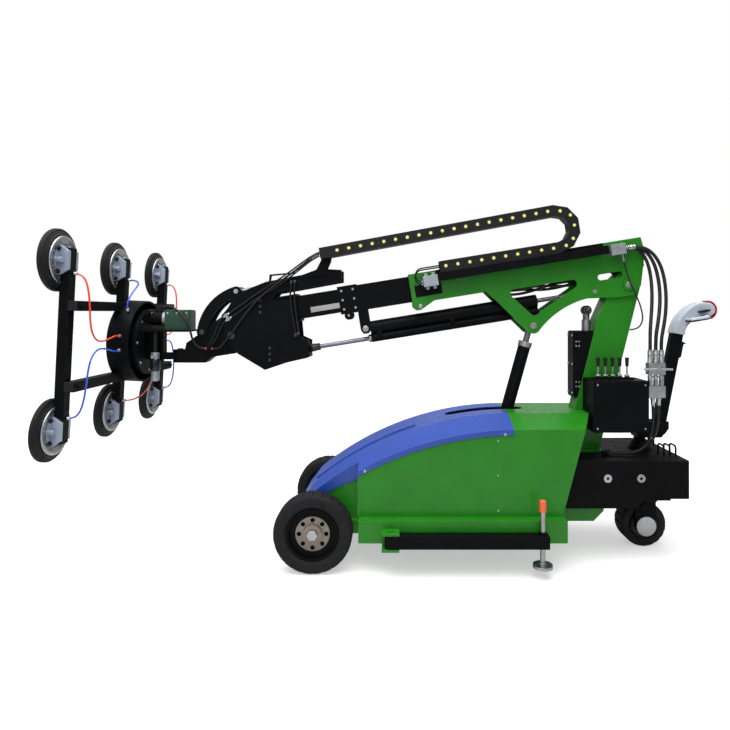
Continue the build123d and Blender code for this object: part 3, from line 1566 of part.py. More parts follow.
# Extension rod: piston rod of the upper telescoping cylinder, its eye on the boom's anchor pin
with BuildPart() as extension_rod:
    with BuildSketch(boom_plane):
        with Locations((rod_anchor_a, cylinder_a_b)):
            Circle(rod_eye_radius)
            Circle(anchor_pin_radius + running_fit, mode=Mode.SUBTRACT)
    extrude(amount=rod_eye_half, both=True)
    with BuildSketch(along_boom(rod_anchor_a - anchor_pin_radius - rod_radius / 2, cylinder_a_b)):
        Circle(rod_radius)
    extrude(amount=rod_anchor_a - anchor_pin_radius - rod_radius / 2 - piston_a)
    with BuildSketch(along_boom(piston_a, cylinder_a_b)):
        Circle(barrel_a_bore - running_fit)
    extrude(amount=piston_length)
extension_rod.part.label = "extension_rod"
export_step(extension_rod.part, "parts/extension_rod.step")

# Lift cylinder: rod with an eye on the gusset pin, barrel with gland and an open lower eye in the yoke
lift_top = boom_plane.from_local_coords((lift_pin_a, lift_pin_b))
lift_foot = Vector(yoke_x, 0, yoke_z)
lift_line = (lift_foot - lift_top).normalized()
lift_reach = (lift_foot - lift_top).length
with BuildPart() as lift_rod:
    with BuildSketch(Plane(origin=lift_top, z_dir=(0, -1, 0))):
        Circle(lift_eye_radius)
    extrude(amount=lift_eye_half, both=True)
    with BuildSketch(Plane(origin=lift_top, z_dir=lift_line)):
        Circle(lift_rod_radius)
    extrude(amount=lift_rod_length)
    with BuildSketch(Plane(origin=lift_top + lift_line * lift_rod_length, z_dir=lift_line)):
        Circle(lift_bore - running_fit)
    extrude(amount=piston_length)
    with BuildSketch(Plane(origin=lift_top, z_dir=(0, -1, 0))):
        Circle(lift_pin_radius + running_fit)
    extrude(amount=lift_eye_half, both=True, mode=Mode.SUBTRACT)
lift_rod.part.label = "lift_rod"
export_step(lift_rod.part, "parts/lift_rod.step")

lift_barrel_top = lift_top + lift_line * lift_barrel_start
lift_barrel_length = lift_reach - lift_barrel_start
with BuildPart() as lift_barrel:
    with BuildSketch(Plane(origin=lift_barrel_top, z_dir=lift_line)):
        Circle(lift_barrel_radius)
    extrude(amount=lift_barrel_length)
    with BuildSketch(Plane(origin=lift_barrel_top, z_dir=lift_line)):
        Circle(lift_barrel_radius + lift_gland_step)
    extrude(amount=lift_gland_length)
    with BuildSketch(Plane(origin=lift_barrel_top + lift_line * lift_gland_length, z_dir=lift_line)):
        Circle(lift_bore)
    extrude(amount=lift_barrel_length - lift_gland_length - lift_eye_radius - lift_gland_step,
            mode=Mode.SUBTRACT)
    with BuildSketch(Plane(origin=lift_barrel_top, z_dir=lift_line)):
        Circle(lift_rod_radius + running_fit)
    extrude(amount=lift_gland_length, mode=Mode.SUBTRACT)
    with BuildSketch(Plane(origin=lift_foot, z_dir=(0, -1, 0))):
        Circle(lift_eye_radius)
    extrude(amount=lift_eye_half, both=True)
lift_barrel.part.label = "lift_barrel"
export_step(lift_barrel.part, "parts/lift_barrel.step")

# Boom section 1: first telescoping box with a bolted front collar and the barrels' hanger lugs
collar_side = section_1_width / 2 + collar_step
collar_low = boom_axis - section_1_height / 2 - collar_step
collar_lug = (section_1_front + collar_lug_inset, collar_low - collar_lug_drop)
with BuildPart() as boom_section_1:
    with BuildSketch(boom_plane):
        with Locations(((section_1_front + section_1_rear) / 2, boom_axis)):
            Rectangle(section_1_rear - section_1_front, section_1_height)
    extrude(amount=section_1_width / 2, both=True)
    with BuildSketch(boom_plane):
        with Locations((section_1_front + collar_length / 2, boom_axis)):
            Rectangle(collar_length, section_1_height + 2 * collar_step)
    extrude(amount=collar_side, both=True)
    with BuildSketch(boom_plane):
        with Locations(((section_1_front + section_1_rear) / 2, boom_axis)):
            Rectangle(section_1_rear - section_1_front, section_2_height + 2 * slide_gap)
    extrude(amount=section_2_width / 2 + slide_gap, both=True, mode=Mode.SUBTRACT)
    for side in (-1, 1):
        with BuildSketch(boom_plane.offset(-side * hanger_inner)):
            with BuildLine():
                Polyline(
                    (hanger_pin_a - hanger_radius, boom_axis - section_1_height / 2),
                    (hanger_pin_a + hanger_radius, boom_axis - section_1_height / 2),
                    (hanger_pin_a + hanger_radius, cylinder_a_b),
                    (hanger_pin_a + hanger_radius / 2, cylinder_a_b - hanger_radius),
                    (hanger_pin_a - hanger_radius / 2, cylinder_a_b - hanger_radius),
                    (hanger_pin_a - hanger_radius, cylinder_a_b),
                    close=True,
                )
            make_face()
        extrude(amount=-side * hanger_plate)
        with BuildSketch(boom_plane.offset(-side * collar_side)):
            with Locations(collar_lug):
                Circle(collar_lug_radius)
        extrude(amount=side * hanger_plate)
        with BuildSketch(boom_plane.offset(-side * collar_side)):
            with Locations(collar_lug):
                RegularPolygon(collar_bolt_radius, 6)
            with Locations((section_1_front + collar_length / 2, boom_axis)):
                with GridLocations(collar_length * 0.6, section_1_height * 0.36, 2, 3):
                    RegularPolygon(collar_bolt_radius, 6)
        extrude(amount=-side * collar_bolt_height)
    with BuildSketch(boom_plane):
        with Locations((hanger_pin_a, cylinder_a_b)):
            Circle(hanger_pin_radius)
    extrude(amount=hanger_inner + hanger_plate, both=True)
boom_section_1.part.label = "boom_section_1"
export_step(boom_section_1.part, "parts/boom_section_1.step")

# Extension barrels: two hydraulic barrels side by side under the boom, clamped together
cylinder_b_b = cylinder_a_b - barrel_a_radius - barrel_b_radius + barrel_overlap
with BuildPart() as extension_barrels:
    with BuildSketch(along_boom(barrel_rear, cylinder_a_b)):
        Circle(barrel_a_radius)
    extrude(amount=barrel_rear - barrel_front)
    with BuildSketch(along_boom(barrel_rear, cylinder_b_b)):
        Circle(barrel_b_radius)
    extrude(amount=barrel_rear - barrel_front)
    for clamp_a in (barrel_rear - clamp_inset, (barrel_rear + barrel_front) / 2, barrel_front + clamp_inset):
        with BuildSketch(along_boom(clamp_a, (cylinder_a_b + cylinder_b_b) / 2)):
            Rectangle(barrel_a_radius, barrel_a_radius + barrel_b_radius)
        extrude(amount=clamp_length)
    with BuildSketch(along_boom(barrel_rear - gland_length, cylinder_a_b)):
        Circle(barrel_a_bore)
    extrude(amount=barrel_rear - barrel_front - 2 * gland_length, mode=Mode.SUBTRACT)
    with BuildSketch(along_boom(barrel_rear, cylinder_a_b)):
        Circle(rod_radius + running_fit)
    extrude(amount=gland_length, mode=Mode.SUBTRACT)
    with BuildSketch(along_boom(barrel_rear - gland_length, cylinder_b_b)):
        Circle(barrel_b_bore)
    extrude(amount=barrel_rear - barrel_front - 2 * gland_length, mode=Mode.SUBTRACT)
    with BuildSketch(along_boom(barrel_front + gland_length, cylinder_b_b)):
        Circle(rod_radius + running_fit)
    extrude(amount=gland_length, mode=Mode.SUBTRACT)
    with BuildSketch(boom_plane):
        with Locations((hanger_pin_a, cylinder_a_b)):
            Circle(hanger_radius)
    extrude(amount=hanger_inner - moving_gap, both=True)
    with BuildSketch(boom_plane):
        with Locations((hanger_pin_a, cylinder_a_b)):
            Circle(hanger_pin_radius + running_fit)
    extrude(amount=hanger_inner, both=True, mode=Mode.SUBTRACT)
extension_barrels.part.label = "extension_barrels"
export_step(extension_barrels.part, "parts/extension_barrels.step")

# Boom section 2: inner telescoping box that carries the head bracket
with BuildPart() as boom_section_2:
    with BuildSketch(boom_plane):
        with Locations(((section_2_front + section_2_rear) / 2, boom_axis)):
            Rectangle(section_2_rear - section_2_front, section_2_height)
    extrude(amount=section_2_width / 2, both=True)
    with BuildSketch(boom_plane):
        with Locations(((section_2_front + section_2_rear) / 2 + section_2_wall, boom_axis)):
            Rectangle(section_2_rear - section_2_front, section_2_height - 2 * section_2_wall)
    extrude(amount=section_2_width / 2 - section_2_wall, both=True, mode=Mode.SUBTRACT)
boom_section_2.part.label = "boom_section_2"
export_step(boom_section_2.part, "parts/boom_section_2.step")

# Head rod: chromed piston rod of the lower cylinder, nutted to the head bracket
with BuildPart() as head_rod:
    with BuildSketch(along_boom(head_piston_a, cylinder_b_b)):
        Circle(barrel_b_bore - running_fit)
    extrude(amount=piston_length)
    with BuildSketch(along_boom(head_piston_a, cylinder_b_b)):
        Circle(rod_radius)
    extrude(amount=head_piston_a - head_block_rear)
    with BuildSketch(along_boom(head_block_rear + rod_nut_length, cylinder_b_b)):
        RegularPolygon(rod_nut_radius, 6)
    extrude(amount=rod_nut_length)
head_rod.part.label = "head_rod"
export_step(head_rod.part, "parts/head_rod.step")

# Drag chain: cable chain links on the boom's left side, lower run, bend and two halves of the upper run


def straight_links(start, end, count):
    """A row of hollow chain links between two boom-local points, each its own solid."""
    step = (end - start) / count
    heading = degrees(atan2(step.Y, step.X))
    with BuildPart() as row:
        for index in range(count):
            middle = start + step * (index + 0.5)
            with BuildSketch(boom_plane.offset(chain_inside)):
                with Locations(Location((middle.X, middle.Y), heading)):
                    Rectangle(step.length - link_gap, chain_height)
            extrude(amount=chain_width)
            with BuildSketch(boom_plane.offset(chain_inside + link_cheek)):
                with Locations(Location((middle.X, middle.Y), heading)):
                    Rectangle(step.length, chain_height - 2 * link_bar)
            extrude(amount=chain_width - 2 * link_cheek, mode=Mode.SUBTRACT)
    return row.part


lower_front = Vector(chain_lower_front, chain_lower_b)
lower_rear = Vector(chain_bend_a, chain_lower_b)
upper_rear = Vector(chain_bend_a, chain_lower_b + 2 * chain_bend_radius)
upper_front = Vector(chain_upper_front, chain_upper_front_b)
upper_middle = (upper_rear + upper_front) / 2
bend_inside = chain_bend_radius - chain_height / 2
bend_outside = chain_bend_radius + chain_height / 2
bend_step = 180.0 / bend_links
with BuildPart() as drag_chain_lower:
    add(straight_links(lower_front, lower_rear, lower_links))
    for index in range(bend_links):
        first = radians(index * bend_step - 90 + bend_gap)
        last = radians((index + 1) * bend_step - 90 - bend_gap)
        with BuildSketch(boom_plane.offset(chain_inside)):
            with Locations((chain_bend_a, chain_lower_b + chain_bend_radius)):
                Polygon(
                    (bend_inside * cos(first), bend_inside * sin(first)),
                    (bend_outside * cos(first), bend_outside * sin(first)),
                    (bend_outside * cos(last), bend_outside * sin(last)),
                    (bend_inside * cos(last), bend_inside * sin(last)),
                    align=None,
                )
        extrude(amount=chain_width)
drag_chain_lower.part.label = "drag_chain_lower"
export_step(drag_chain_lower.part, "parts/drag_chain_lower.step")

with BuildPart() as drag_chain_rear:
    add(straight_links(upper_middle, upper_rear, upper_links))
drag_chain_rear.part.label = "drag_chain_rear"
export_step(drag_chain_rear.part, "parts/drag_chain_rear.step")

with BuildPart() as drag_chain_front:
    add(straight_links(upper_front, upper_middle, upper_links))
drag_chain_front.part.label = "drag_chain_front"
export_step(drag_chain_front.part, "parts/drag_chain_front.step")

# Chain tray: folded black tray on the boom's left side that carries the lower run
tray_top = chain_lower_b - chain_height / 2 - moving_gap
tray_length = tray_rear - tray_front
tray_middle = (tray_rear + tray_front) / 2
with BuildPart() as chain_tray:
    with BuildSketch(boom_plane.offset(plate_outside + weld_gap)):
        with Locations((tray_middle, tray_top)):
            Rectangle(tray_length, tray_sheet, align=(Align.CENTER, Align.MAX))
    extrude(amount=tray_depth)
    with BuildSketch(boom_plane.offset(plate_outside + weld_gap)):
        with Locations((tray_middle, tray_top - tray_sheet)):
            Rectangle(tray_length, tray_wall + tray_sheet, align=(Align.CENTER, Align.MIN))
    extrude(amount=tray_sheet)
    with BuildSketch(boom_plane.offset(plate_outside + weld_gap + tray_depth - tray_sheet)):
        with Locations((tray_middle, tray_top)):
            Rectangle(tray_length, tray_skirt, align=(Align.CENTER, Align.MAX))
    extrude(amount=tray_sheet)
chain_tray.part.label = "chain_tray"
export_step(chain_tray.part, "parts/chain_tray.step")

# Boom manifolds: two silver hose blocks on the boom's left side, with hex unions
with BuildPart() as boom_manifolds:
    for block_a, block_b in ((front_block_a, front_block_b), (rear_block_a, rear_block_b)):
        with BuildSketch(boom_plane.offset(plate_outside + weld_gap)):
            with Locations((block_a, block_b)):
                Rectangle(block_length, block_height)
        extrude(amount=block_depth)
    with BuildSketch(boom_plane.offset(plate_outside + weld_gap + block_depth / 2)):
        with Locations((front_block_a, front_block_b)):
            with GridLocations(union_pitch, block_height, 2, 1):
                Rectangle(union_width, block_height + 2 * union_length)
    extrude(amount=union_width / 2, both=True)
    for lane in range(hose_count):
        lane_y = hose_first_y - lane * hose_pitch
        lane_point = boom_plane.from_local_coords((rear_block_a + block_length / 2, rear_block_b))
        with BuildSketch(Plane(origin=(lane_point.X, lane_y, lane_point.Z), z_dir=boom_plane.x_dir)):
            RegularPolygon(union_width / 2, 6)
        extrude(amount=union_length)
boom_manifolds.part.label = "boom_manifolds"
export_step(boom_manifolds.part, "parts/boom_manifolds.step")

# Head bracket: two cut side plates on boom section 2, with sleeve, rod block, tilt barrel and chain bracket
head_outside = head_inner + plate_thickness
tilt_axis_b = boom_plane.to_local_coords(Vector(tilt_c[0], 0, tilt_c[1])).Y
with BuildPart() as head_bracket:
    for side in (-1, 1):
        with BuildSketch(Plane.XZ.offset(-side * head_inner)):
            Polygon(*head_outline, align=None)
            with Locations(tilt_b):
                Circle(tilt_knuckle_radius)
                Circle(tilt_pin_radius + running_fit, mode=Mode.SUBTRACT)
        extrude(amount=-side * plate_thickness)
        with BuildSketch(Plane.XZ.offset(-side * head_outside)):
            with Locations(*head_bolt_groups):
                with GridLocations(head_bolt_pitch, head_bolt_pitch, 1, 3):
                    RegularPolygon(head_bolt_radius, 6)
        extrude(amount=-side * collar_bolt_height)
    with BuildSketch(boom_plane):
        with Locations(((section_2_front + sleeve_rear) / 2, boom_axis)):
            Rectangle(sleeve_rear - section_2_front, section_2_height + 2 * plate_thickness)
            Rectangle(sleeve_rear - section_2_front, section_2_height + 2 * weld_gap, mode=Mode.SUBTRACT)
        with Locations(((section_2_front + head_block_rear) / 2, cylinder_b_b)):
            Rectangle(head_block_rear - section_2_front, head_block_height)
        for web_a in (tilt_barrel_front, tilt_barrel_rear - plate_thickness):
            with Locations((web_a, tilt_axis_b)):
                Rectangle(plate_thickness, 2 * tilt_barrel_radius, align=(Align.MIN, Align.CENTER))
    extrude(amount=head_inner, both=True)
    with BuildSketch(along_boom(tilt_barrel_rear, tilt_axis_b)):
        Circle(tilt_barrel_radius)
    extrude(amount=tilt_barrel_rear - tilt_barrel_front)
    with BuildSketch(along_boom(tilt_barrel_rear - plate_thickness, tilt_axis_b)):
        Circle(tilt_bore)
    extrude(amount=tilt_barrel_rear - tilt_barrel_front - 2 * plate_thickness, mode=Mode.SUBTRACT)
    with BuildSketch(along_boom(tilt_barrel_front + plate_thickness, tilt_axis_b)):
        Circle(tilt_rod_radius + running_fit)
    extrude(amount=plate_thickness, mode=Mode.SUBTRACT)
    with BuildSketch(Plane.XZ.offset(head_outside)):
        Polygon(*chain_bracket_outline, align=None)
    extrude(amount=chain_inside - moving_gap - head_outside)
    with BuildSketch(Plane.XZ.offset(head_outside - rail_post)):
        Polygon(*rail_outline, align=None)
    extrude(amount=rail_post)
head_bracket.part.label = "head_bracket"
export_step(head_bracket.part, "parts/head_bracket.step")

# Tilt bracket: solid knuckle on hinge B, link pin A and the fork of the swing hinge
with BuildPart() as tilt_bracket:
    with BuildSketch(Plane.XZ):
        Polygon(*tilt_outline, align=None)
        with Locations(tilt_a):
            Circle(tilt_ear_radius)
        with Locations(tilt_b):
            Circle(tilt_knuckle_radius)
    extrude(amount=tilt_half, both=True)
    with BuildSketch(Plane.XZ):
        with Locations(tilt_b):
            Circle(tilt_knuckle_radius)
    extrude(amount=head_inner - moving_gap, both=True)
    with BuildSketch(Plane.XZ):
        with Locations(tilt_b):
            Circle(tilt_pin_radius)
    extrude(amount=head_outside + lift_pin_head, both=True)
    with BuildSketch(Plane.XZ):
        with Locations(tilt_a):
            Circle(link_pin_radius)
    extrude(amount=link_inner + plate_thickness + lift_pin_head, both=True)
    with BuildSketch(Plane.XY.offset(fork_bottom)):
        with Locations((swing_x, 0)):
            Circle(knuckle_radius)
        with Locations(((swing_x + fork_root) / 2, 0)):
            Rectangle(fork_root - swing_x, 2 * knuckle_radius)
    extrude(amount=fork_height)
    with BuildSketch(Plane.XY.offset(fork_bottom + fork_ear)):
        with Locations((swing_x, 0)):
            Circle(knuckle_radius + swing_gap)
    extrude(amount=fork_height - 2 * fork_ear, mode=Mode.SUBTRACT)
    with BuildSketch(Plane.XY.offset(fork_bottom)):
        with Locations((swing_x, 0)):
            Circle(swing_pin_radius)
    extrude(amount=fork_height + lift_pin_head)
    with BuildSketch(Plane.XZ.offset(tilt_half)):
        with Locations(((clip_front + clip_rear) / 2, clip_z)):
            Rectangle(clip_rear - clip_front, clip_height)
    extrude(amount=clip_depth)
tilt_bracket.part.label = "tilt_bracket"
export_step(tilt_bracket.part, "parts/tilt_bracket.step")

# Tilt link: pair of curved links from pin A to the tilt rod's crosshead, the open end of the linkage
with BuildPart() as tilt_link:
    for side in (-1, 1):
        with BuildSketch(Plane.XZ.offset(-side * link_inner)):
            SlotArc(Edge.make_three_point_arc(tilt_a, link_bow, tilt_c), link_width)
            with Locations(tilt_a):
                Circle(link_pin_radius + running_fit, mode=Mode.SUBTRACT)
        extrude(amount=-side * plate_thickness)
        with BuildSketch(Plane.XZ.offset(-side * (link_inner + plate_thickness))):
            with Locations(tilt_c):
                RegularPolygon(link_pin_radius, 6)
        extrude(amount=-side * lift_pin_head)
tilt_link.part.label = "tilt_link"
export_step(tilt_link.part, "parts/tilt_link.step")

# Tilt rod: piston rod with a crosshead between the links, sliding in the head bracket's barrel
tilt_c_a = boom_plane.to_local_coords(Vector(tilt_c[0], 0, tilt_c[1])).X
with BuildPart() as tilt_rod:
    with BuildSketch(Plane.XZ):
        with Locations(tilt_c):
            Circle(crosshead_radius)
    extrude(amount=link_inner - moving_gap, both=True)
    with BuildSketch(along_boom(tilt_piston_a, tilt_axis_b)):
        Circle(tilt_rod_radius)
    extrude(amount=tilt_piston_a - tilt_c_a)
    with BuildSketch(along_boom(tilt_piston_a, tilt_axis_b)):
        Circle(tilt_bore - running_fit)
    extrude(amount=piston_length)
tilt_rod.part.label = "tilt_rod"
export_step(tilt_rod.part, "parts/tilt_rod.step")

# Swing bracket: tongue on the swing pin, arm, motor shelf and the round bearing plate of the rotator
head_plane = Plane(origin=(head_x, 0, head_z), x_dir=(0, -1, 0),
                   z_dir=(-cos(radians(head_lean)), 0, sin(radians(head_lean))))
tongue_bottom = fork_bottom + fork_ear + moving_gap
tongue_height = fork_height - 2 * fork_ear - 2 * moving_gap
bearing_front = -drum_rear - drum_gap
with BuildPart() as swing_bracket:
    with BuildSketch(Plane.XY.offset(tongue_bottom)):
        with Locations((swing_x, 0)):
            Circle(knuckle_radius)
        with Locations(((swing_x + bearing_x) / 2, 0)):
            Rectangle(swing_x - bearing_x, 2 * tongue_half)
        with Locations((swing_x, 0)):
            Circle(swing_pin_radius + running_fit, mode=Mode.SUBTRACT)
    extrude(amount=tongue_height)
    with BuildSketch(Plane.XZ):
        Polygon(
            (bearing_x, tongue_bottom),
            (web_x, tongue_bottom),
            (web_x, shelf_z - shelf_sheet),
            (shelf_x, shelf_z - shelf_sheet),
            (shelf_x, shelf_z),
            (bearing_x, shelf_z),
            align=None,
        )
    extrude(amount=tongue_half, both=True)
    with BuildSketch(Plane.XY.offset(shelf_z - shelf_sheet)):
        with Locations(((shelf_x + bearing_x) / 2, 0)):
            Rectangle(shelf_x - bearing_x, 2 * shelf_half)
    extrude(amount=shelf_sheet)
    with BuildSketch(head_plane.offset(bearing_front)):
        Circle(bearing_radius)
    extrude(amount=-bearing_sheet)
    with BuildSketch(head_plane.offset(bearing_front)):
        Circle(shaft_radius + running_fit)
    extrude(amount=-bearing_sheet, mode=Mode.SUBTRACT)
    with BuildSketch(head_plane.offset(bearing_front - bearing_sheet)):
        with PolarLocations(bearing_bolt_ring, bearing_bolts):
            RegularPolygon(head_bolt_radius, 6)
    extrude(amount=-collar_bolt_height)
swing_bracket.part.label = "swing_bracket"
export_step(swing_bracket.part, "parts/swing_bracket.step")

# Rotator motor: green gearbox, silver collar and black motor body on the shelf
with BuildPart() as rotator_motor:
    with BuildSketch(Plane.XY.offset(shelf_z + weld_gap)):
        with Locations(((gearbox_front + gearbox_rear) / 2, 0)):
            RectangleRounded(gearbox_rear - gearbox_front, 2 * gearbox_half, gearbox_round)
    extrude(amount=gearbox_height)
    with BuildSketch(Plane.YZ.offset(gearbox_front - motor_length)):
        with Locations((0, motor_z)):
            Circle(motor_radius)
    extrude(amount=motor_length)
    with BuildSketch(Plane.YZ.offset(gearbox_front - collar_depth)):
        with Locations((0, motor_z)):
            Circle(motor_radius + motor_collar_step)
    extrude(amount=collar_depth)
    with BuildSketch(Plane.XY.offset(shelf_z + weld_gap + gearbox_height)):
        with Locations(((gearbox_front + gearbox_rear) / 2, 0)):
            with GridLocations((gearbox_rear - gearbox_front) * 0.6, gearbox_half, 2, 2):
                RegularPolygon(head_bolt_radius, 6)
    extrude(amount=collar_bolt_height)
rotator_motor.part.label = "rotator_motor"
export_step(rotator_motor.part, "parts/rotator_motor.step")

# Vacuum filter: silver bowl under the shelf with a cap and a hose spigot
with BuildPart() as vacuum_filter:
    with BuildSketch(Plane.XY.offset(bowl_bottom)):
        with Locations((bowl_x, bowl_y)):
            Circle(bowl_radius)
    extrude(amount=shelf_z - shelf_sheet - weld_gap - bowl_bottom - bowl_neck)
    fillet(vacuum_filter.faces().sort_by(Axis.Z)[0].edges(), bowl_radius / 2)
    with BuildSketch(Plane.XY.offset(shelf_z - shelf_sheet - weld_gap - bowl_neck)):
        with Locations((bowl_x, bowl_y)):
            Circle(bowl_radius / 2)
    extrude(amount=bowl_neck)
    with BuildSketch(Plane.XZ.offset(-bowl_y)):
        with Locations((bowl_x, shelf_z - shelf_sheet - weld_gap - bowl_neck - bowl_radius)):
            Circle(union_width / 2)
    extrude(amount=bowl_radius + union_length)
vacuum_filter.part.label = "vacuum_filter"
export_step(vacuum_filter.part, "parts/vacuum_filter.step")

# Rotator drum: open-backed drum slotted over the cross bars, with a shaft in the bearing plate
with BuildPart() as rotator_drum:
    with BuildSketch(head_plane.offset(-drum_front)):
        Circle(drum_radius)
    extrude(amount=drum_front - drum_rear)
    fillet(rotator_drum.faces().sort_by(Axis.X)[0].edges(), drum_round)
    with BuildSketch(head_plane.offset(-drum_rear)):
        Circle(drum_radius - drum_wall)
    extrude(amount=drum_rear - drum_front - drum_wall, mode=Mode.SUBTRACT)
    with BuildSketch(head_plane.offset(-drum_front)):
        with Locations((0, -cross_y), (0, cross_y)):
            Rectangle(2 * drum_radius, bar_size + 2 * weld_gap)
    extrude(amount=drum_front - 3 * bar_size / 2 - 2 * weld_gap, mode=Mode.SUBTRACT)
    with BuildSketch(head_plane.offset(-drum_front - drum_wall)):
        Circle(shaft_radius)
    extrude(amount=drum_front + drum_wall + moving_gap - drum_rear - drum_gap - bearing_sheet)
rotator_drum.part.label = "rotator_drum"
export_step(rotator_drum.part, "parts/rotator_drum.step")

# Suction frame bars: three uprights and two cross bars of square tube, with clamp bolts
with BuildPart() as frame_bars:
    with BuildSketch(head_plane.offset(-bar_size / 2)):
        with Locations((-cup_spread, 0), (0, 0), (cup_spread, 0)):
            Rectangle(bar_size, 2 * bar_half)
    extrude(amount=bar_size)
    for spot in (-cup_spread, 0, cup_spread):
        with BuildSketch(head_plane.offset(-bar_size / 2 + bar_wall)):
            with Locations((spot, 0)):
                Rectangle(bar_size - 2 * bar_wall, 2 * bar_half)
        extrude(amount=bar_size - 2 * bar_wall, mode=Mode.SUBTRACT)
    with BuildSketch(head_plane.offset(-bar_size / 2 - weld_gap)):
        with Locations((0, -cross_y), (0, cross_y)):
            Rectangle(2 * crossbar_half, bar_size)
    extrude(amount=-bar_size)
    with BuildSketch(head_plane.offset(-bar_size / 2 - weld_gap - bar_wall)):
        with Locations((0, -cross_y), (0, cross_y)):
            Rectangle(2 * crossbar_half, bar_size - 2 * bar_wall)
    extrude(amount=-(bar_size - 2 * bar_wall), mode=Mode.SUBTRACT)
    with BuildSketch(head_plane.offset(-3 * bar_size / 2 - weld_gap)):
        with GridLocations(2 * cup_spread, 2 * cross_y, 2, 2):
            Circle(head_bolt_radius)
    extrude(amount=-clamp_bolt_length)
frame_bars.part.label = "frame_bars"
export_step(frame_bars.part, "parts/frame_bars.step")

# Cup castings: six silver discs with a saddle that straddles the upright, and bolt ears
with BuildPart() as cup_castings:
    with BuildSketch(head_plane.offset(bar_size / 2 + weld_gap)):
        with GridLocations(cup_spread, 2 * cup_y, 3, 2):
            Circle(disc_radius)
    extrude(amount=disc_sheet)
    with BuildSketch(head_plane.offset(bar_size / 2 + weld_gap + disc_sheet)):
        with GridLocations(cup_spread, 2 * cup_y, 3, 2):
            Circle(disc_radius - disc_step)
    extrude(amount=cup_depth - disc_sheet)
    for spot in (-cup_spread, 0, cup_spread):
        for level in (-cup_y, cup_y):
            for side in (-1, 1):
                cheek = (spot + side * (bar_size / 2 + weld_gap + saddle_sheet / 2), level)
                with BuildSketch(head_plane.offset(bar_size / 2 + weld_gap)):
                    with Locations(cheek):
                        Rectangle(saddle_sheet, saddle_long)
                with BuildSketch(head_plane.offset(-bar_size / 2)):
                    with Locations(cheek):
                        Rectangle(saddle_sheet, saddle_short)
                loft()
    with BuildSketch(head_plane.offset(bar_size / 2 + weld_gap)):
        for side in (-1, 1):
            with Locations((side * (bar_size / 2 + saddle_sheet + ear_radius), 0)):
                with GridLocations(cup_spread, 2 * cup_y, 3, 2):
                    Circle(ear_radius)
    extrude(amount=-ear_height)
cup_castings.part.label = "cup_castings"
export_step(cup_castings.part, "parts/cup_castings.step")

# Cup rubbers: six flared black suction lips round the casting discs
with BuildPart() as cup_rubbers:
    for spot in (-cup_spread, 0, cup_spread):
        for level in (-cup_y, cup_y):
            with BuildSketch(Plane(origin=head_plane.from_local_coords((spot, level, 0)),
                                   x_dir=head_plane.x_dir, z_dir=-head_plane.y_dir)):
                Polygon(
                    (disc_radius + weld_gap, cup_back),
                    (lip_radius - lip_flare, cup_back),
                    (lip_radius, lip_front - lip_sheet),
                    (lip_radius, lip_front),
                    (lip_radius - lip_sheet, lip_front),
                    (disc_radius + weld_gap, cup_back + lip_sheet),
                    align=None,
                )
            revolve(axis=Axis(head_plane.from_local_coords((spot, level, 0)), head_plane.z_dir))
cup_rubbers.part.label = "cup_rubbers"
export_step(cup_rubbers.part, "parts/cup_rubbers.step")

# Cords: hoses, vacuum tubes and cables as tubes of straight runs and tangent arcs


def cord(name, points, diameter):
    """A round tube along the route, with each arc as large as its two runs allow."""
    places = [Vector(*point) for point in points]
    radii = []
    for before, corner, after in zip(places, places[1:], places[2:]):
        turn = radians((corner - before).get_angle(after - corner))
        shorter = min((corner - before).length, (after - corner).length)
        radii.append(run_share * shorter / tan(turn / 2))
    with BuildPart() as tube:
        with BuildLine() as route:
            FilletPolyline(*places, radius=radii)
        with BuildSketch(Plane(origin=route.line @ 0, z_dir=route.line % 0)):
            Circle(diameter / 2)
        sweep(path=route.line)
    length = sum(edge.length for edge in route.line.edges())
    ratio = tube.part.volume / (pi * diameter**2 / 4 * length)
    rounded = [round(radius) for radius in radii]
    print(name, "radii", rounded, "length", round(length, 1), "ratio", round(ratio, 4))
    return tube.part


with BuildPart() as hydraulic_hoses:
    for index, hose_points in enumerate((hose_outer, hose_middle, hose_inner)):
        add(cord(f"hose {index}", hose_points, hose_diameter))
    add(cord("thin hose", hose_thin, thin_diameter))
hydraulic_hoses.part.label = "hydraulic_hoses"
export_step(hydraulic_hoses.part, "parts/hydraulic_hoses.step")


def head_route(points, flip_x, flip_y):
    """Route points on the suction frame, mirrored to another cup, in the part's own directions."""
    return [head_plane.from_local_coords((flip_x * x, flip_y * y, z)) for x, y, z in points]


with BuildPart() as red_tubes:
    add(cord("red near top", head_route(tube_outer, 1, 1), tube_diameter))
    add(cord("red far top", head_route(tube_outer, -1, 1), tube_diameter))
    add(cord("red middle bottom", head_route(tube_middle, -1, -1), tube_diameter))
red_tubes.part.label = "red_tubes"
export_step(red_tubes.part, "parts/red_tubes.step")

with BuildPart() as blue_tubes:
    add(cord("blue near bottom", head_route(tube_outer, 1, -1), tube_diameter))
    add(cord("blue far bottom", head_route(tube_outer, -1, -1), tube_diameter))
    add(cord("blue middle top", head_route(tube_middle, 1, 1), tube_diameter))
blue_tubes.part.label = "blue_tubes"
export_step(blue_tubes.part, "parts/blue_tubes.step")

with BuildPart() as head_cables:
    add(cord("head cable", head_cable, cable_diameter))
head_cables.part.label = "head_cables"
export_step(head_cables.part, "parts/head_cables.step")

with BuildPart() as rotator_cables:
    add(cord("rotator cable", rotator_cable, cable_diameter))
rotator_cables.part.label = "rotator_cables"
export_step(rotator_cables.part, "parts/rotator_cables.step")
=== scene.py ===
import json
import math

import bmesh
import bpy
from mathutils import Matrix, Vector

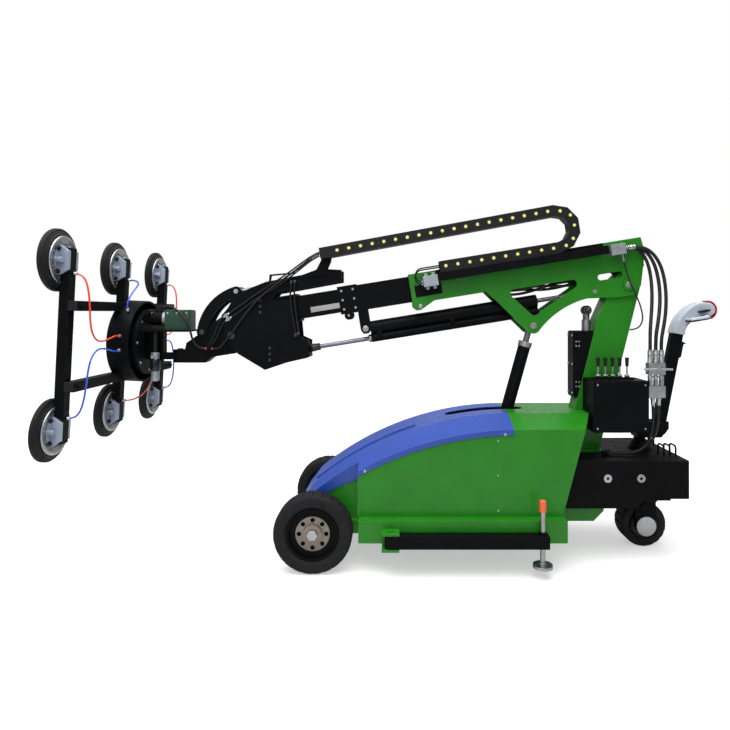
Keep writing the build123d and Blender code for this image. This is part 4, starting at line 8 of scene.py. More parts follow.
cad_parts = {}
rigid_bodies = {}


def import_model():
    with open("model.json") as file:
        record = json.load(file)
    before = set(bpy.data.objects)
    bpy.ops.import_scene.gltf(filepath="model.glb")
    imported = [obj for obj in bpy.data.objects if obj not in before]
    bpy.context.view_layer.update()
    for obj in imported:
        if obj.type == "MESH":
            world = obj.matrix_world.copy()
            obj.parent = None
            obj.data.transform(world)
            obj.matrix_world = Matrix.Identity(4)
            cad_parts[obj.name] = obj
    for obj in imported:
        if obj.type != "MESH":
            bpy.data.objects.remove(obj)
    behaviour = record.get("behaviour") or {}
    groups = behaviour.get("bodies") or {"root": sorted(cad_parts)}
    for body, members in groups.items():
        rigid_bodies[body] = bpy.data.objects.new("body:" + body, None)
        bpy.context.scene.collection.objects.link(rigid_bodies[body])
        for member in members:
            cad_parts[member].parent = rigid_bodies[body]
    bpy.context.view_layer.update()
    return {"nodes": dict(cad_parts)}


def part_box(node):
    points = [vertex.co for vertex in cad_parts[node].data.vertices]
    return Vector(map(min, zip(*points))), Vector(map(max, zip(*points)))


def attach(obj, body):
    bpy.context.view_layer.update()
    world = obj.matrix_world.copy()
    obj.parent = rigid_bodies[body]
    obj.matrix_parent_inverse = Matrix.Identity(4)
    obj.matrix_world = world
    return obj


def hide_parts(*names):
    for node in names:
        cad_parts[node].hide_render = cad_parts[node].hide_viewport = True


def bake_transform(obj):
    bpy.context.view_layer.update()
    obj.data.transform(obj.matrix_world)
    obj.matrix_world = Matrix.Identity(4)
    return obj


for start_object in list(bpy.data.objects):
    bpy.data.objects.remove(start_object)
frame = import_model()
nodes = frame["nodes"]
scene = bpy.context.scene
scene.view_settings.view_transform = "Standard"

# Studio: a room that is brighter overhead, with one large soft panel above and two weaker ones
# in front and behind. The floor shows the machine's soft shadow and glows to white further out.
# The camera stands where the photo's perspective puts it.
room_low = 0.20
room_high = 0.95
floor_half = 30.0
floor_height = -0.0005
floor_grey = 0.62


def spread_range(tree, source, from_low, from_high, low=0.0, high=1.0):
    """Socket with a source's values spread from one range to another."""
    spread = tree.nodes.new("ShaderNodeMapRange")
    limits = {"From Min": from_low, "From Max": from_high, "To Min": low, "To Max": high}
    for socket, value in limits.items():
        spread.inputs[socket].default_value = value
    tree.links.new(source, spread.inputs["Value"])
    return spread.outputs["Result"]


def placed(name, data):
    """Object made of a mesh, curve, light or camera, put into the scene."""
    item = bpy.data.objects.new(name, data)
    scene.collection.objects.link(item)
    return item


world = bpy.data.worlds.new("white_room")
scene.world = world
world.use_nodes = True
room = world.node_tree
room_light = room.nodes["Background"]
room_white = room.nodes.new("ShaderNodeBackground")
for backdrop in (room_light, room_white):
    backdrop.inputs["Color"].default_value = (1.0, 1.0, 1.0, 1.0)
room_way = room.nodes.new("ShaderNodeTexCoord")
room_parts = room.nodes.new("ShaderNodeSeparateXYZ")
room_mix = room.nodes.new("ShaderNodeMixShader")
room_ray = room.nodes.new("ShaderNodeLightPath")
room_up = room_parts.outputs["Z"]
room_rise = spread_range(room, room_up, from_low=0.0, from_high=1.0, low=room_low, high=room_high)
for source, target in (
    (room_way.outputs["Generated"], room_parts.inputs[0]),
    (room_rise, room_light.inputs["Strength"]),
    (room_ray.outputs["Is Camera Ray"], room_mix.inputs["Fac"]),
    (room_light.outputs[0], room_mix.inputs[1]),
    (room_white.outputs[0], room_mix.inputs[2]),
    (room_mix.outputs[0], room.nodes["World Output"].inputs["Surface"]),
):
    room.links.new(source, target)

floor_mesh = bpy.data.meshes.new("studio_floor")
floor_mesh.from_pydata(
    [(along * floor_half, across * floor_half, floor_height)
     for along, across in ((-1, -1), (1, -1), (1, 1), (-1, 1))],
    [], [(0, 1, 2, 3)],
)
floor = placed("studio_floor", floor_mesh)
floor_coat = bpy.data.materials.new("pale_floor")
floor_coat.use_nodes = True
floor_tree = floor_coat.node_tree
floor_tree.nodes.remove(floor_tree.nodes["Principled BSDF"])
floor_paint = floor_tree.nodes.new("ShaderNodeBsdfDiffuse")
floor_paint.inputs["Color"].default_value = (floor_grey, floor_grey, floor_grey, 1.0)
floor_glow = floor_tree.nodes.new("ShaderNodeEmission")
floor_ray = floor_tree.nodes.new("ShaderNodeLightPath")
floor_place = floor_tree.nodes.new("ShaderNodeNewGeometry")
floor_reach = floor_tree.nodes.new("ShaderNodeVectorMath")
floor_reach.operation = "LENGTH"
floor_out = floor_reach.outputs["Value"]
floor_far = spread_range(floor_tree, floor_out, from_low=1.2, from_high=4.5, low=0.46, high=0.70)
floor_level = floor_tree.nodes.new("ShaderNodeMath")
floor_level.operation = "MULTIPLY"
floor_sum = floor_tree.nodes.new("ShaderNodeAddShader")
for source, target in (
    (floor_place.outputs["Position"], floor_reach.inputs[0]),
    (floor_ray.outputs["Is Camera Ray"], floor_level.inputs[0]),
    (floor_far, floor_level.inputs[1]),
    (floor_level.outputs[0], floor_glow.inputs["Strength"]),
    (floor_paint.outputs[0], floor_sum.inputs[0]),
    (floor_glow.outputs[0], floor_sum.inputs[1]),
    (floor_sum.outputs[0], floor_tree.nodes["Material Output"].inputs["Surface"]),
):
    floor_tree.links.new(source, target)
floor_mesh.materials.append(floor_coat)

lamp_aim = Vector((0.0, 0.0, 0.9))
for lamp_name, lamp_place, lamp_size, lamp_power in (
    ("overhead_panel", (-0.4, -0.9, 4.6), 5.0, 340.0),
    ("front_panel", (-1.0, -5.2, 3.2), 4.5, 56.0),
    ("back_panel", (1.2, 4.6, 3.0), 4.0, 12.0),
):
    lamp = bpy.data.lights.new(lamp_name, "AREA")
    lamp.size = lamp_size
    lamp.energy = lamp_power
    panel = placed(lamp_name, lamp)
    panel.location = lamp_place
    panel.rotation_euler = (lamp_aim - panel.location).to_track_quat("-Z", "Y").to_euler()

picture_side = 730.0
focal_pixels = 560.0
axis_pixel = (395.0, 312.0)
eye = bpy.data.cameras.new("photo_camera")
eye.sensor_width = 36.0
eye.lens = eye.sensor_width * focal_pixels / picture_side
eye.shift_x = (picture_side / 2 - axis_pixel[0]) / picture_side
eye.shift_y = (axis_pixel[1] - picture_side / 2) / picture_side
camera = placed("photo_camera", eye)
camera.location = (-0.083, -3.209, 1.320)
camera.rotation_euler = (math.pi / 2, 0.0, 0.0)
scene.camera = camera

# Base frame: welded steel tray with rails, stabilizer clevises and tail, powder coated bright green.
# The coat has a fine orange-peel grain. Its edges are painted lighter, partly wear from straps and boots,
# partly painted highlight where they catch the light.


def shade(red, green, blue):
    """Linear colour of a finish from its screen colour, 0 to 255."""
    return tuple(((part / 255 + 0.055) / 1.055) ** 2.4 for part in (red, green, blue))


def coating(name, colour, rough, metal=0.0, grain=900.0, relief=0.1, dark=0.8, wear_and_highlight=None, edge=0.002,
            gloss=0.0, shine=0.5):
    """Painted, moulded or plated finish: clouded colour, fine grain, and edges in a second colour,
    partly rubbed wear and partly painted highlight.
    """
    coat = bpy.data.materials.new(name)
    coat.use_nodes = True
    tree = coat.node_tree
    link = tree.links.new
    shader = tree.nodes["Principled BSDF"]
    for socket, value in (("Metallic", metal), ("Coat Weight", gloss), ("Specular IOR Level", shine)):
        shader.inputs[socket].default_value = value
    place = tree.nodes.new("ShaderNodeTexCoord")

    def noise(scale, detail, low=0.0, high=1.0, from_low=0.35, from_high=0.65):
        cloud = tree.nodes.new("ShaderNodeTexNoise")
        cloud.inputs["Scale"].default_value = scale
        cloud.inputs["Detail"].default_value = detail
        link(place.outputs["Object"], cloud.inputs["Vector"])
        return spread_range(tree, cloud.outputs["Fac"], from_low, from_high, low, high)

    def blended(share, first, second):
        tint = tree.nodes.new("ShaderNodeMix")
        tint.data_type = "RGBA"
        link(share, tint.inputs[0])
        for number, part in ((6, first), (7, second)):
            if isinstance(part, bpy.types.NodeSocket):
                link(part, tint.inputs[number])
            else:
                tint.inputs[number].default_value = (*part, 1.0)
        return tint.outputs[2]

    tone = blended(noise(scale=6.0, detail=6.0), tuple(part * dark for part in colour), colour)
    edges = tree.nodes.new("ShaderNodeBevel")
    edges.samples = 4
    edges.inputs["Radius"].default_value = edge
    # Edges get the second colour where the bevelled normal turns from the face's: partly rubbed wear, partly
    # painted highlight.
    if wear_and_highlight is not None:
        face = tree.nodes.new("ShaderNodeNewGeometry")
        turned_away = tree.nodes.new("ShaderNodeVectorMath")
        turned_away.operation = "DOT_PRODUCT"
        link(edges.outputs[0], turned_away.inputs[0])
        link(face.outputs["Normal"], turned_away.inputs[1])
        wear_and_highlight_edges = spread_range(tree, turned_away.outputs["Value"], from_low=0.985, from_high=0.86)
        broken_wear_and_highlight = tree.nodes.new("ShaderNodeMath")
        broken_wear_and_highlight.operation = "MULTIPLY"
        link(wear_and_highlight_edges, broken_wear_and_highlight.inputs[0])
        link(noise(scale=45.0, detail=4.0, low=0.1, high=0.8), broken_wear_and_highlight.inputs[1])
        tone = blended(broken_wear_and_highlight.outputs[0], tone, wear_and_highlight)
    link(tone, shader.inputs["Base Color"])
    sheen = noise(scale=38.0, detail=4.0, low=max(rough - 0.07, 0.02), high=rough + 0.09)
    link(sheen, shader.inputs["Roughness"])
    ripple = tree.nodes.new("ShaderNodeBump")
    ripple.inputs["Strength"].default_value = relief
    ripple.inputs["Distance"].default_value = 0.0006
    link(noise(grain, detail=2.0, from_low=0.2, from_high=0.8), ripple.inputs["Height"])
    link(edges.outputs[0], ripple.inputs["Normal"])
    link(ripple.outputs[0], shader.inputs["Normal"])
    return coat


def dress(node, coat, *patches):
    """Gives a solid its finish, and each patch's finish to the faces whose centres its test picks."""
    mesh = nodes[node].data
    mesh.materials.clear()
    for finish in (coat, *(patch[0] for patch in patches)):
        mesh.materials.append(finish)
    for face in mesh.polygons:
        face.material_index = 0
        for number, (_, picked) in enumerate(patches, 1):
            if picked(face.center):
                face.material_index = number


# The second, lighter green on its edges is partly wear and partly painted highlight.
green_coat = coating("green_powder_coat", shade(28, 118, 17), 0.36, wear_and_highlight=shade(104, 184, 92), dark=0.86,
                     gloss=0.06, shine=0.3)
dress("base_frame", green_coat)

# Front axle and wheels: zinc-plated axle and nuts, black pressed rims with a plated hub plate,
# and block-tread rubber tyres, greyed along the tread's edges, partly by dust and partly by painted
# highlight.
zinc = coating("zinc_plate", shade(176, 178, 180), 0.34, metal=1.0, grain=420.0, relief=0.06, dark=0.72)
dull_zinc = coating("dull_zinc_plate", shade(134, 126, 116), 0.45, metal=0.85, grain=300.0, dark=0.7)
# The black coat's lighter edge colour is partly wear and partly painted highlight.
black_coat = coating("black_powder_coat", shade(11, 12, 14), 0.42, grain=800.0, relief=0.14, dark=0.7,
                     wear_and_highlight=shade(46, 48, 52), shine=0.06)
tyre_rubber = coating("tyre_rubber", shade(27, 27, 29), 0.72, grain=260.0, relief=0.3, dark=0.62,
                      wear_and_highlight=shade(70, 69, 70), edge=0.004, shine=0.2)
axle_line = Vector((-0.499, 0.0, 0.2))
rim_reach = 0.1299
hub_plate_reach = 0.088
hub_plate_side = 0.380
dress("front_axle", zinc)


def from_axle(place, line):
    """Distance of a place from a wheel's cross axis."""
    return math.hypot(place.x - line.x, place.z - line.z)


for side in ("left", "right"):
    dress(
        "front_wheel_" + side, tyre_rubber,
        (black_coat, lambda place: from_axle(place, axle_line) < rim_reach),
        (dull_zinc, lambda place: (
            from_axle(place, axle_line) < hub_plate_reach and abs(place.y) > hub_plate_side)),
    )

# Shade rings: a black ring behind the hub plate of each front wheel, which fills its eight holes with
# painted shade. It rides on the wheel and turns with it.
shade_ring_bore = 0.0485
shade_ring_reach = 0.112
shade_ring_sides = (0.358, 0.3695)
wheel_sides = 48


def linked(name, shape, *coats):
    """Links a finished bmesh as a piece with its finishes."""
    mesh = bpy.data.meshes.new(name)
    shape.to_mesh(mesh)
    shape.free()
    for coat in coats:
        mesh.materials.append(coat)
    return placed(name, mesh)


def shown(name, shape, coat, body):
    """Links a finished bmesh as a piece that rides on a body."""
    piece = linked(name, shape, coat)
    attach(piece, body)
    return piece


def turned(shape, profile, place, axis, steps=24):
    """Adds a closed profile of radius and height, turned about an axis, to a bmesh."""
    turn = axis.to_track_quat("Z", "Y").to_matrix()
    rings = []
    for step in range(steps):
        angle = 2 * math.pi * step / steps
        around = Vector((math.cos(angle), math.sin(angle), 0.0))
        rings.append([
            shape.verts.new(place + turn @ (radius * around + Vector((0.0, 0.0, height))))
            for radius, height in profile
        ])
    for step, ring in enumerate(rings):
        following = rings[(step + 1) % steps]
        for corner in range(len(profile)):
            after = (corner + 1) % len(profile)
            side_face = shape.faces.new((ring[corner], following[corner], following[after], ring[after]))
            side_face.smooth = True


for side, way in (("left", -1.0), ("right", 1.0)):
    shade_ring = bmesh.new()
    turned(shade_ring, ((shade_ring_bore, shade_ring_sides[0]), (shade_ring_reach, shade_ring_sides[0]), (shade_ring_reach, shade_ring_sides[1]),
                  (shade_ring_bore, shade_ring_sides[1])), axle_line, Vector((0.0, way, 0.0)), wheel_sides)
    shown("hole_shade_ring_" + side, shade_ring, black_coat, "wheel_" + side)

# Body covers: folded steel panels in the green coat, under a blue hood with bevelled sides.
# Small plated screws through their flanges hold them to the base frame.
# The lighter blue on the hood's edges is partly wear and partly painted highlight.
blue_coat = coating("blue_powder_coat", shade(30, 66, 154), 0.4, wear_and_highlight=shade(92, 124, 208), dark=0.88,
                    edge=0.001)
round_head = 20
dress("body_panels", green_coat)
dress("hood", blue_coat)
dress("rear_cover", green_coat)


def seat(node, start, way):
    """Place and facing of the surface that a line from start along way meets first."""
    met, place, facing, _ = nodes[node].ray_cast(Vector(start), Vector(way))
    if not met:
        raise ValueError("no surface of " + node + " in line with " + str(start))
    return place, facing


def side_seats(node, *places):
    """Seats on both sides of a solid, at places given along and up."""
    return [seat(node, (along, side, high), (0.0, -side, 0.0))
            for side in (-1.0, 1.0) for along, high in places]


def bevelled(piece, label, width):
    """Breaks the sharp edges of a piece."""
    edges = piece.modifiers.new(label, "BEVEL")
    edges.width = width
    edges.limit_method = "ANGLE"


def fasteners(name, seats, width, height, body, coat, sides=6):
    """Bolt or screw heads on washers, on the seats that they hold down."""
    heads = bmesh.new()
    washer_disc = (24, 1.5 * width, -0.1, 0.35)
    head_block = (sides, width, 0.2, 0.8)
    for place, facing in seats:
        turn = facing.to_track_quat("Z", "Y").to_matrix().to_4x4()
        for corners, across, low, tall in (washer_disc, head_block):
            rise = Matrix.Translation((0.0, 0.0, (low + tall / 2) * height))
            bmesh.ops.create_cone(
                heads, cap_ends=True, segments=corners, radius1=across / 2, radius2=0.46 * across,
                depth=tall * height, matrix=Matrix.Translation(place) @ turn @ rise,
            )
    bevelled(shown(name, heads, coat, body), "chamfer", 0.05 * width)


bpy.context.view_layer.update()
hood_screws = side_seats("hood", (-0.238, 0.502), (0.484, 0.690))
panel_screws = side_seats("body_panels", (0.448, 0.655), (0.448, 0.478), (0.448, 0.296))
fasteners("hood_screws", hood_screws, 0.011, 0.005, "chassis", zinc, round_head)
fasteners("panel_screws", panel_screws, 0.008, 0.004, "chassis", zinc, round_head)

# Rear housing and counterweights: cast iron blocks under black coat, with plated screw bushings.
# The three add-on slabs hang behind the housing and lift off by their bent round handles.
# Its lighter edge colour is partly wear and partly painted highlight.
black_iron = coating("black_iron_coat", shade(12, 12, 14), 0.5, grain=320.0, relief=0.2, dark=0.7,
                     wear_and_highlight=shade(44, 44, 48), edge=0.003, shine=0.06)
bushing_places = ((1.033, 0.447), (1.208, 0.447))
bushing_reach = 0.0216
bushing_face = 0.2342
dress(
    "rear_housing", black_iron,
    (zinc, lambda place: abs(place.y) > bushing_face and any(
        math.hypot(place.x - along, place.z - high) < bushing_reach for along, high in bushing_places)),
)
dress("counterweight_slabs", black_iron)

# Mast: green leaning box column, welded to its foot plate, with the boom's pivot pin through its head.
# The painted pin is drawn tight by a plated bolt at each end.
boom_pivot = Vector((1.222, 0.0, 1.472))
dress("mast", green_coat)
fasteners("pivot_bolts", side_seats("mast", boom_pivot.xz), 0.022, 0.008, "chassis", zinc)

# Electric box and control box: black sheet steel cabinets, bolted to the mast.
# Plated screws hold their lids, and the electric box has screwed hinges on its near side.
control_screw_face = -0.2301
lid_screw_sides = (-0.038, 0.038)
lid_screw_heights = (0.862, 1.025, 1.188)
hinge_screw_rows = (0.938, 0.954)
hinge_screw_heights = (0.900, 0.925, 1.128, 1.153)
dress("electric_box", black_coat)
dress("control_box", black_coat, (zinc, lambda place: place.y < control_screw_face))
fasteners(
    "electric_box_screws",
    [seat("electric_box", (-1.0, side, high), (1.0, 0.0, 0.0))
     for side in lid_screw_sides for high in lid_screw_heights],
    0.010, 0.005, "chassis", zinc, round_head,
)
fasteners(
    "electric_box_hinge_screws",
    [seat("electric_box", (along, -1.0, high), (0.0, 1.0, 0.0))
     for along in hinge_screw_rows for high in hinge_screw_heights],
    0.007, 0.004, "chassis", zinc, round_head,
)

# Control levers: plated steel stems with black moulded grips that taper downwards.
# Each one tips on its own in the top of the control box.
moulded_black = coating("moulded_black_plastic", shade(19, 19, 21), 0.46, grain=1500.0, relief=0.12,
                        dark=0.75, shine=0.25)
lever_grip_foot = 1.0225
for number in range(1, 6):
    dress("control_lever_" + str(number), zinc, (moulded_black, lambda place: place.z > lever_grip_foot))

# Hydraulic fittings: plated valve block and couplings, a filter post, and a pressure gauge with a
# black dial, pale needle and marks. The T-bar of the hand valve is plated steel.
gauge_along = 1.012
gauge_high = 1.330
gauge_case = 0.0276
gauge_foot = 1.302
dial_ink = coating("dial_ink", shade(30, 30, 32), 0.5, relief=0.0)
dial_white = coating("dial_white", shade(236, 236, 230), 0.45, relief=0.02, dark=0.96)
dial_marks = [(30.0 * step, 0.0175, 0.0045, 0.0012) for step in range(-4, 5)]
dial_needle = (38.0, 0.008, 0.016, 0.0015)
mark_sheet = 0.0008
mark_lift = Vector((0.0, -0.0007, 0.0))
coupling_row = (1.286, 1.316, 1.346)
coupling_across = -0.204
coupling_bore = 0.008
coupling_collars = ((0.963, 0.0132, 0.016), (1.0495, 0.0146, 0.010), (1.0625, 0.0142, 0.004),
                    (1.0695, 0.0142, 0.004), (1.0765, 0.0142, 0.004), (1.0885, 0.0138, 0.014))
collar_break = 0.001
upright = Vector((0.0, 0.0, 1.0))


def add_block(shape, place, reach, lean=0.0):
    """Adds a block to a bmesh, with its reach along three axes and its lean about the cross axis."""
    bmesh.ops.create_cube(
        shape, size=1.0,
        matrix=Matrix.Translation(place) @ Matrix.Rotation(lean, 4, "Y") @ Matrix.Diagonal((*reach, 1.0)),
    )


dress(
    "hydraulic_fittings", zinc,
    (moulded_black, lambda place: abs(place.x - gauge_along) < gauge_case and place.z > gauge_foot),
)
dress("valve_handle", zinc)
gauge_front, _ = seat("hydraulic_fittings", (gauge_along, -0.3, gauge_high), (0.0, 1.0, 0.0))
dial = bmesh.new()
bmesh.ops.create_cone(
    dial, cap_ends=True, segments=48, radius1=0.0225, radius2=0.0220, depth=0.0012,
    matrix=Matrix.Translation(gauge_front) @ Matrix.Rotation(math.pi / 2, 4, "X"),
)
shown("gauge_dial", dial, dial_ink, "chassis")
marks = bmesh.new()
for degrees, reach, length, width in (*dial_marks, dial_needle):
    lean = math.radians(degrees)
    outward = Vector((math.sin(lean), 0.0, math.cos(lean)))
    add_block(marks, gauge_front + mark_lift + reach * outward, (width, mark_sheet, length), lean)
shown("gauge_marks", marks, dial_white, "chassis")
coupling_rings = bmesh.new()
for along in coupling_row:
    for base, reach, tall in coupling_collars:
        turned(coupling_rings, (
            (coupling_bore, 0.0), (reach - collar_break, 0.0), (reach, collar_break),
            (reach, tall - collar_break), (reach - collar_break, tall), (coupling_bore, tall),
        ), Vector((along, coupling_across, base)), upright)
shown("coupling_rings", coupling_rings, zinc, "chassis")

# Inner units: two moulded battery blocks with plated posts, and the alloy hydraulic tank with its
# pump motor. They stand on the base tray under the hood.
# Its lighter edge colour is partly wear and partly painted highlight.
cast_alloy = coating("cast_alloy", shade(164, 170, 178), 0.42, metal=0.75, grain=260.0, relief=0.18,
                     wear_and_highlight=shade(206, 208, 210))
battery_lid = 0.4032
dress("battery_pack", moulded_black, (zinc, lambda place: place.z > battery_lid))
dress("hydraulic_power_unit", cast_alloy)

# Drive wheel, fork and tiller: black fork and column, rubber tyre on a plated hub, and a black arm.
# The head is a light grey moulded shell with a dark underside, a red belly button and black rocker.
drive_line = Vector((1.318, 0.0, 0.125))
drive_rim_reach = 0.0779
drive_hub_reach = 0.0545
shell_underside = -0.2
dress("drive_fork", black_coat)
dress(
    "drive_wheel", tyre_rubber,
    (black_coat, lambda place: from_axle(place, drive_line) < drive_rim_reach),
    (zinc, lambda place: from_axle(place, drive_line) < drive_hub_reach),
)
dress("tiller_arm", black_coat)
shell_grey = coating("shell_grey_plastic", shade(166, 174, 186), 0.4, grain=1300.0, relief=0.08, dark=0.93)
signal_red = coating("signal_red_plastic", shade(205, 34, 30), 0.34, grain=1300.0, relief=0.06, dark=0.86)
dress("tiller_head", shell_grey)
nodes["tiller_head"].data.materials.append(moulded_black)
for face in nodes["tiller_head"].data.polygons:
    if face.normal.z < shell_underside:
        face.material_index = 1
dress("tiller_button", signal_red)
dress("tiller_throttle", moulded_black)

# Stabilizers: black square tubes that swing out on green clevises at the base frame.
# Each carries a plated jack screw with an orange knob, on a plated foot that is black underneath.
knob_foot = 0.3259
foot_underside = 0.0545
jack_orange = coating("jack_orange_plastic", shade(226, 92, 52), 0.38, grain=1300.0, relief=0.06, dark=0.86)
for side in ("left", "right"):
    dress("stabilizer_beam_" + side, black_coat)
    dress(
        "stabilizer_jack_" + side, zinc,
        (jack_orange, lambda place: place.z > knob_foot),
        (moulded_black, lambda place: place.z < foot_underside),
    )

# Boom: green cut plates welded to a box tube, with plated pins and bolt heads.
# Two black tubes telescope out of it, with a bolted collar on the first.
boom_angle = math.radians(9.2)


def on_boom(back, up, across):
    """Row place of a point given along, above and across the boom from its pivot."""
    return boom_pivot + Vector((
        back * math.cos(boom_angle) - up * math.sin(boom_angle), across,
        back * math.sin(boom_angle) + up * math.cos(boom_angle),
    ))


boom_plate_face = 0.0773
collar_plate_face = 0.0613
hanger_pin_place = on_boom(-1.491, -0.008, 0.0)
boom_lug_place = on_boom(-1.165, 0.066, 0.0)
dress("boom", green_coat, (zinc, lambda place: abs(place.y) > boom_plate_face))
dress("boom_section_1", black_coat, (zinc, lambda place: abs(place.y) > collar_plate_face))
dress("boom_section_2", black_coat)
hanger_bolts = side_seats("boom_section_1", hanger_pin_place.xz)
lug_bolts = side_seats("boom", boom_lug_place.xz)
fasteners("hanger_pin_bolts", hanger_bolts, 0.024, 0.008, "section_1", zinc)
fasteners("boom_lug_bolts", lug_bolts, 0.018, 0.007, "boom", zinc)
wear_strips = bmesh.new()
wear_lift = 0.00012
strip_middle = (-1.475, 0.146)
strip_face = 0.0475 + wear_lift / 2
strip_reach = (0.610, wear_lift, 0.030)
for side in (-1.0, 1.0):
    add_block(wear_strips, on_boom(*strip_middle, side * strip_face), strip_reach, -boom_angle)
shown("section_2_wear_strips", wear_strips, zinc, "section_2")

# Hydraulic cylinders: black barrels with hard-chromed rods that lift and extend the boom and tilt the head.
# They turn on plated pins, and steel nuts close the extension cylinder's gland and hold its rod.
oiled_steel = coating("oiled_steel", shade(62, 62, 65), 0.42, metal=0.6, grain=420.0, dark=0.75)
chrome = coating("hard_chrome", shade(124, 126, 132), 0.3, metal=1.0, grain=500.0, relief=0.02, dark=0.86)
head_rod_end = -0.540
lift_pin_place = on_boom(-0.561, -0.141, 0.0)
lift_eye_reach = 0.132
extension_height = -0.0675
nut_sides = 40
dress("extension_barrels", black_coat)
dress("extension_rod", chrome)
dress("head_rod", chrome, (oiled_steel, lambda place: place.x < head_rod_end))
dress("lift_barrel", black_coat, (zinc, lambda place: (place - lift_pin_place).length < lift_eye_reach))
dress("lift_rod", chrome)
dress("tilt_rod", chrome)
boom_forward = (on_boom(-1.0, 0.0, 0.0) - on_boom(0.0, 0.0, 0.0)).normalized()
for nut_name, nut_back, nut_way, nut_coat, nut_body, nut_profile in (
    ("extension_gland_nut", -1.466, boom_forward, zinc, "section_1", (
        (0.0131, 0.0), (0.0225, 0.0), (0.0225, 0.014), (0.0200, 0.017), (0.0160, 0.020), (0.0131, 0.020))),
    ("head_rod_nut", -1.8258, -boom_forward, oiled_steel, "section_2", (
        (0.0128, 0.0), (0.0230, 0.0), (0.0230, 0.030), (0.0205, 0.034), (0.0205, 0.058), (0.0128, 0.062))),
):
    nut = bmesh.new()
    turned(nut, nut_profile, on_boom(nut_back, extension_height, 0.0), nut_way, nut_sides)
    shown(nut_name, nut, nut_coat, nut_body)

# Hose blocks and chain tray: alloy blocks with hose unions, the front one on a black side plate.
# The chain's lower run lies in a black tray of folded sheet.
dress("boom_manifolds", cast_alloy)
dress("chain_tray", black_coat)
plate_middle = on_boom(-1.108, 0.152, -0.0790)
plate_reach = (0.150, 0.004, 0.064)
block_plate = bmesh.new()
add_block(block_plate, plate_middle, plate_reach, -boom_angle)
shown("hose_block_plate", block_plate, black_coat, "boom")

# Drag chain: black moulded links with a yellow pin cap on each joint. Its upper run follows the
# two telescoping sections, and the copies of those links stay fixed where they lie.
pin_yellow = coating("pin_cap_yellow", shade(224, 220, 132), 0.4, grain=1300.0, relief=0.05, dark=0.9)
pin_olive = coating("pin_rim_olive", shade(104, 98, 30), 0.5, grain=1300.0, relief=0.05, dark=0.9)
# Its lighter edge colour is partly wear and partly painted highlight.
chain_nylon = coating("chain_nylon", shade(19, 19, 21), 0.5, relief=0.15,
                      wear_and_highlight=shade(52, 52, 54), edge=0.0025, shine=0.2)
cap_radius = 0.0112
cap_height = 0.003
cap_taper = 0.86
cap_rim = (cap_radius, cap_height * 0.6, 1)
cap_top = (cap_radius * 0.76, cap_height, 2)
bend_middle = on_boom(-0.370, 0.365, 0.0)
bend_turns = 5
bend_liner = (0.073, 0.131)
liner_sides = (-0.086, -0.152)


def bend_corner(step, reach, across):
    """Place at a hinge of the chain's bend, at a reach from the bend's middle."""
    angle = math.pi * step / bend_turns - math.pi / 2 + boom_angle
    return bend_middle + Vector((reach * math.cos(angle), across, reach * math.sin(angle)))


def chain_with_caps(name, node, lined=False, bare_end=False):
    """Copy of a run of links with a pin cap on each near cheek, and a liner where it goes round the bend."""
    links = bmesh.new()
    links.from_mesh(nodes[node].data)
    bmesh.ops.remove_doubles(links, verts=links.verts[:], dist=1e-5)
    left = set(links.verts)
    middles = []
    while left:
        group = [left.pop()]
        for corner in group:
            for edge in corner.link_edges:
                other = edge.other_vert(corner)
                if other in left:
                    left.remove(other)
                    group.append(other)
        lows = [min(corner.co[axis] for corner in group) for axis in range(3)]
        highs = [max(corner.co[axis] for corner in group) for axis in range(3)]
        middles.append(Vector(((lows[0] + highs[0]) / 2, lows[1], (lows[2] + highs[2]) / 2)))
    if bare_end:
        middles.remove(min(middles, key=lambda middle: middle.x))
    for face in links.faces:
        face.material_index = 0
        face.smooth = False
    for middle in middles:
        for reach, rise, finish in (cap_rim, cap_top):
            before = set(links.faces)
            bmesh.ops.create_cone(
                links, cap_ends=True, segments=24, radius1=reach, radius2=reach * cap_taper, depth=rise,
                matrix=Matrix.Translation(middle - Vector((0.0, rise / 2, 0.0)))
                @ Matrix.Rotation(math.pi / 2, 4, "X"),
            )
            for face in set(links.faces) - before:
                face.material_index = finish
    if lined:
        (inner, outer), (near, far) = bend_liner, liner_sides
        section = ((inner, near), (outer, near), (outer, far), (inner, far))
        hoops = [[links.verts.new(bend_corner(step, *corner)) for corner in section]
                 for step in range(bend_turns + 1)]
        for hoop, following in zip(hoops, hoops[1:]):
            for corner in range(4):
                after = (corner + 1) % 4
                links.faces.new((hoop[corner], following[corner], following[after], hoop[after]))
    run = linked(name, links, chain_nylon, pin_olive, pin_yellow)
    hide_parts(node)
    return run


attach(chain_with_caps("chain_run_lower", "drag_chain_lower", lined=True), "boom")
for run_name, node, near_body, far_body, bare_end in (
    ("chain_run_rear", "drag_chain_rear", "boom", "section_1", False),
    ("chain_run_front", "drag_chain_front", "section_1", "section_2", True),
):
    low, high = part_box(node)
    run = chain_with_caps(run_name, node, bare_end=bare_end)
    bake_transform(run)

# Head bracket, tilt linkage and swing hinge: black cut plates on steel pins.
# The rotator has a dark green gearbox, an alloy collar and a black motor.
# The alloy filter beside it has a smoked bowl.
bracket_face = 0.0723
bracket_pins_from = -0.7
linkage_face = 0.0543
linkage_pins_foot = 1.15
gearbox_end = -1.3851
motor_top = -1.4031
dress("head_bracket", black_coat, (oiled_steel, lambda place: (
    abs(place.y) > bracket_face and place.x < bracket_pins_from)))
dress("tilt_bracket", black_coat, (oiled_steel, lambda place: (
    abs(place.y) > linkage_face and place.z > linkage_pins_foot)))
dress("tilt_link", black_coat, (zinc, lambda place: abs(place.y) > linkage_face))
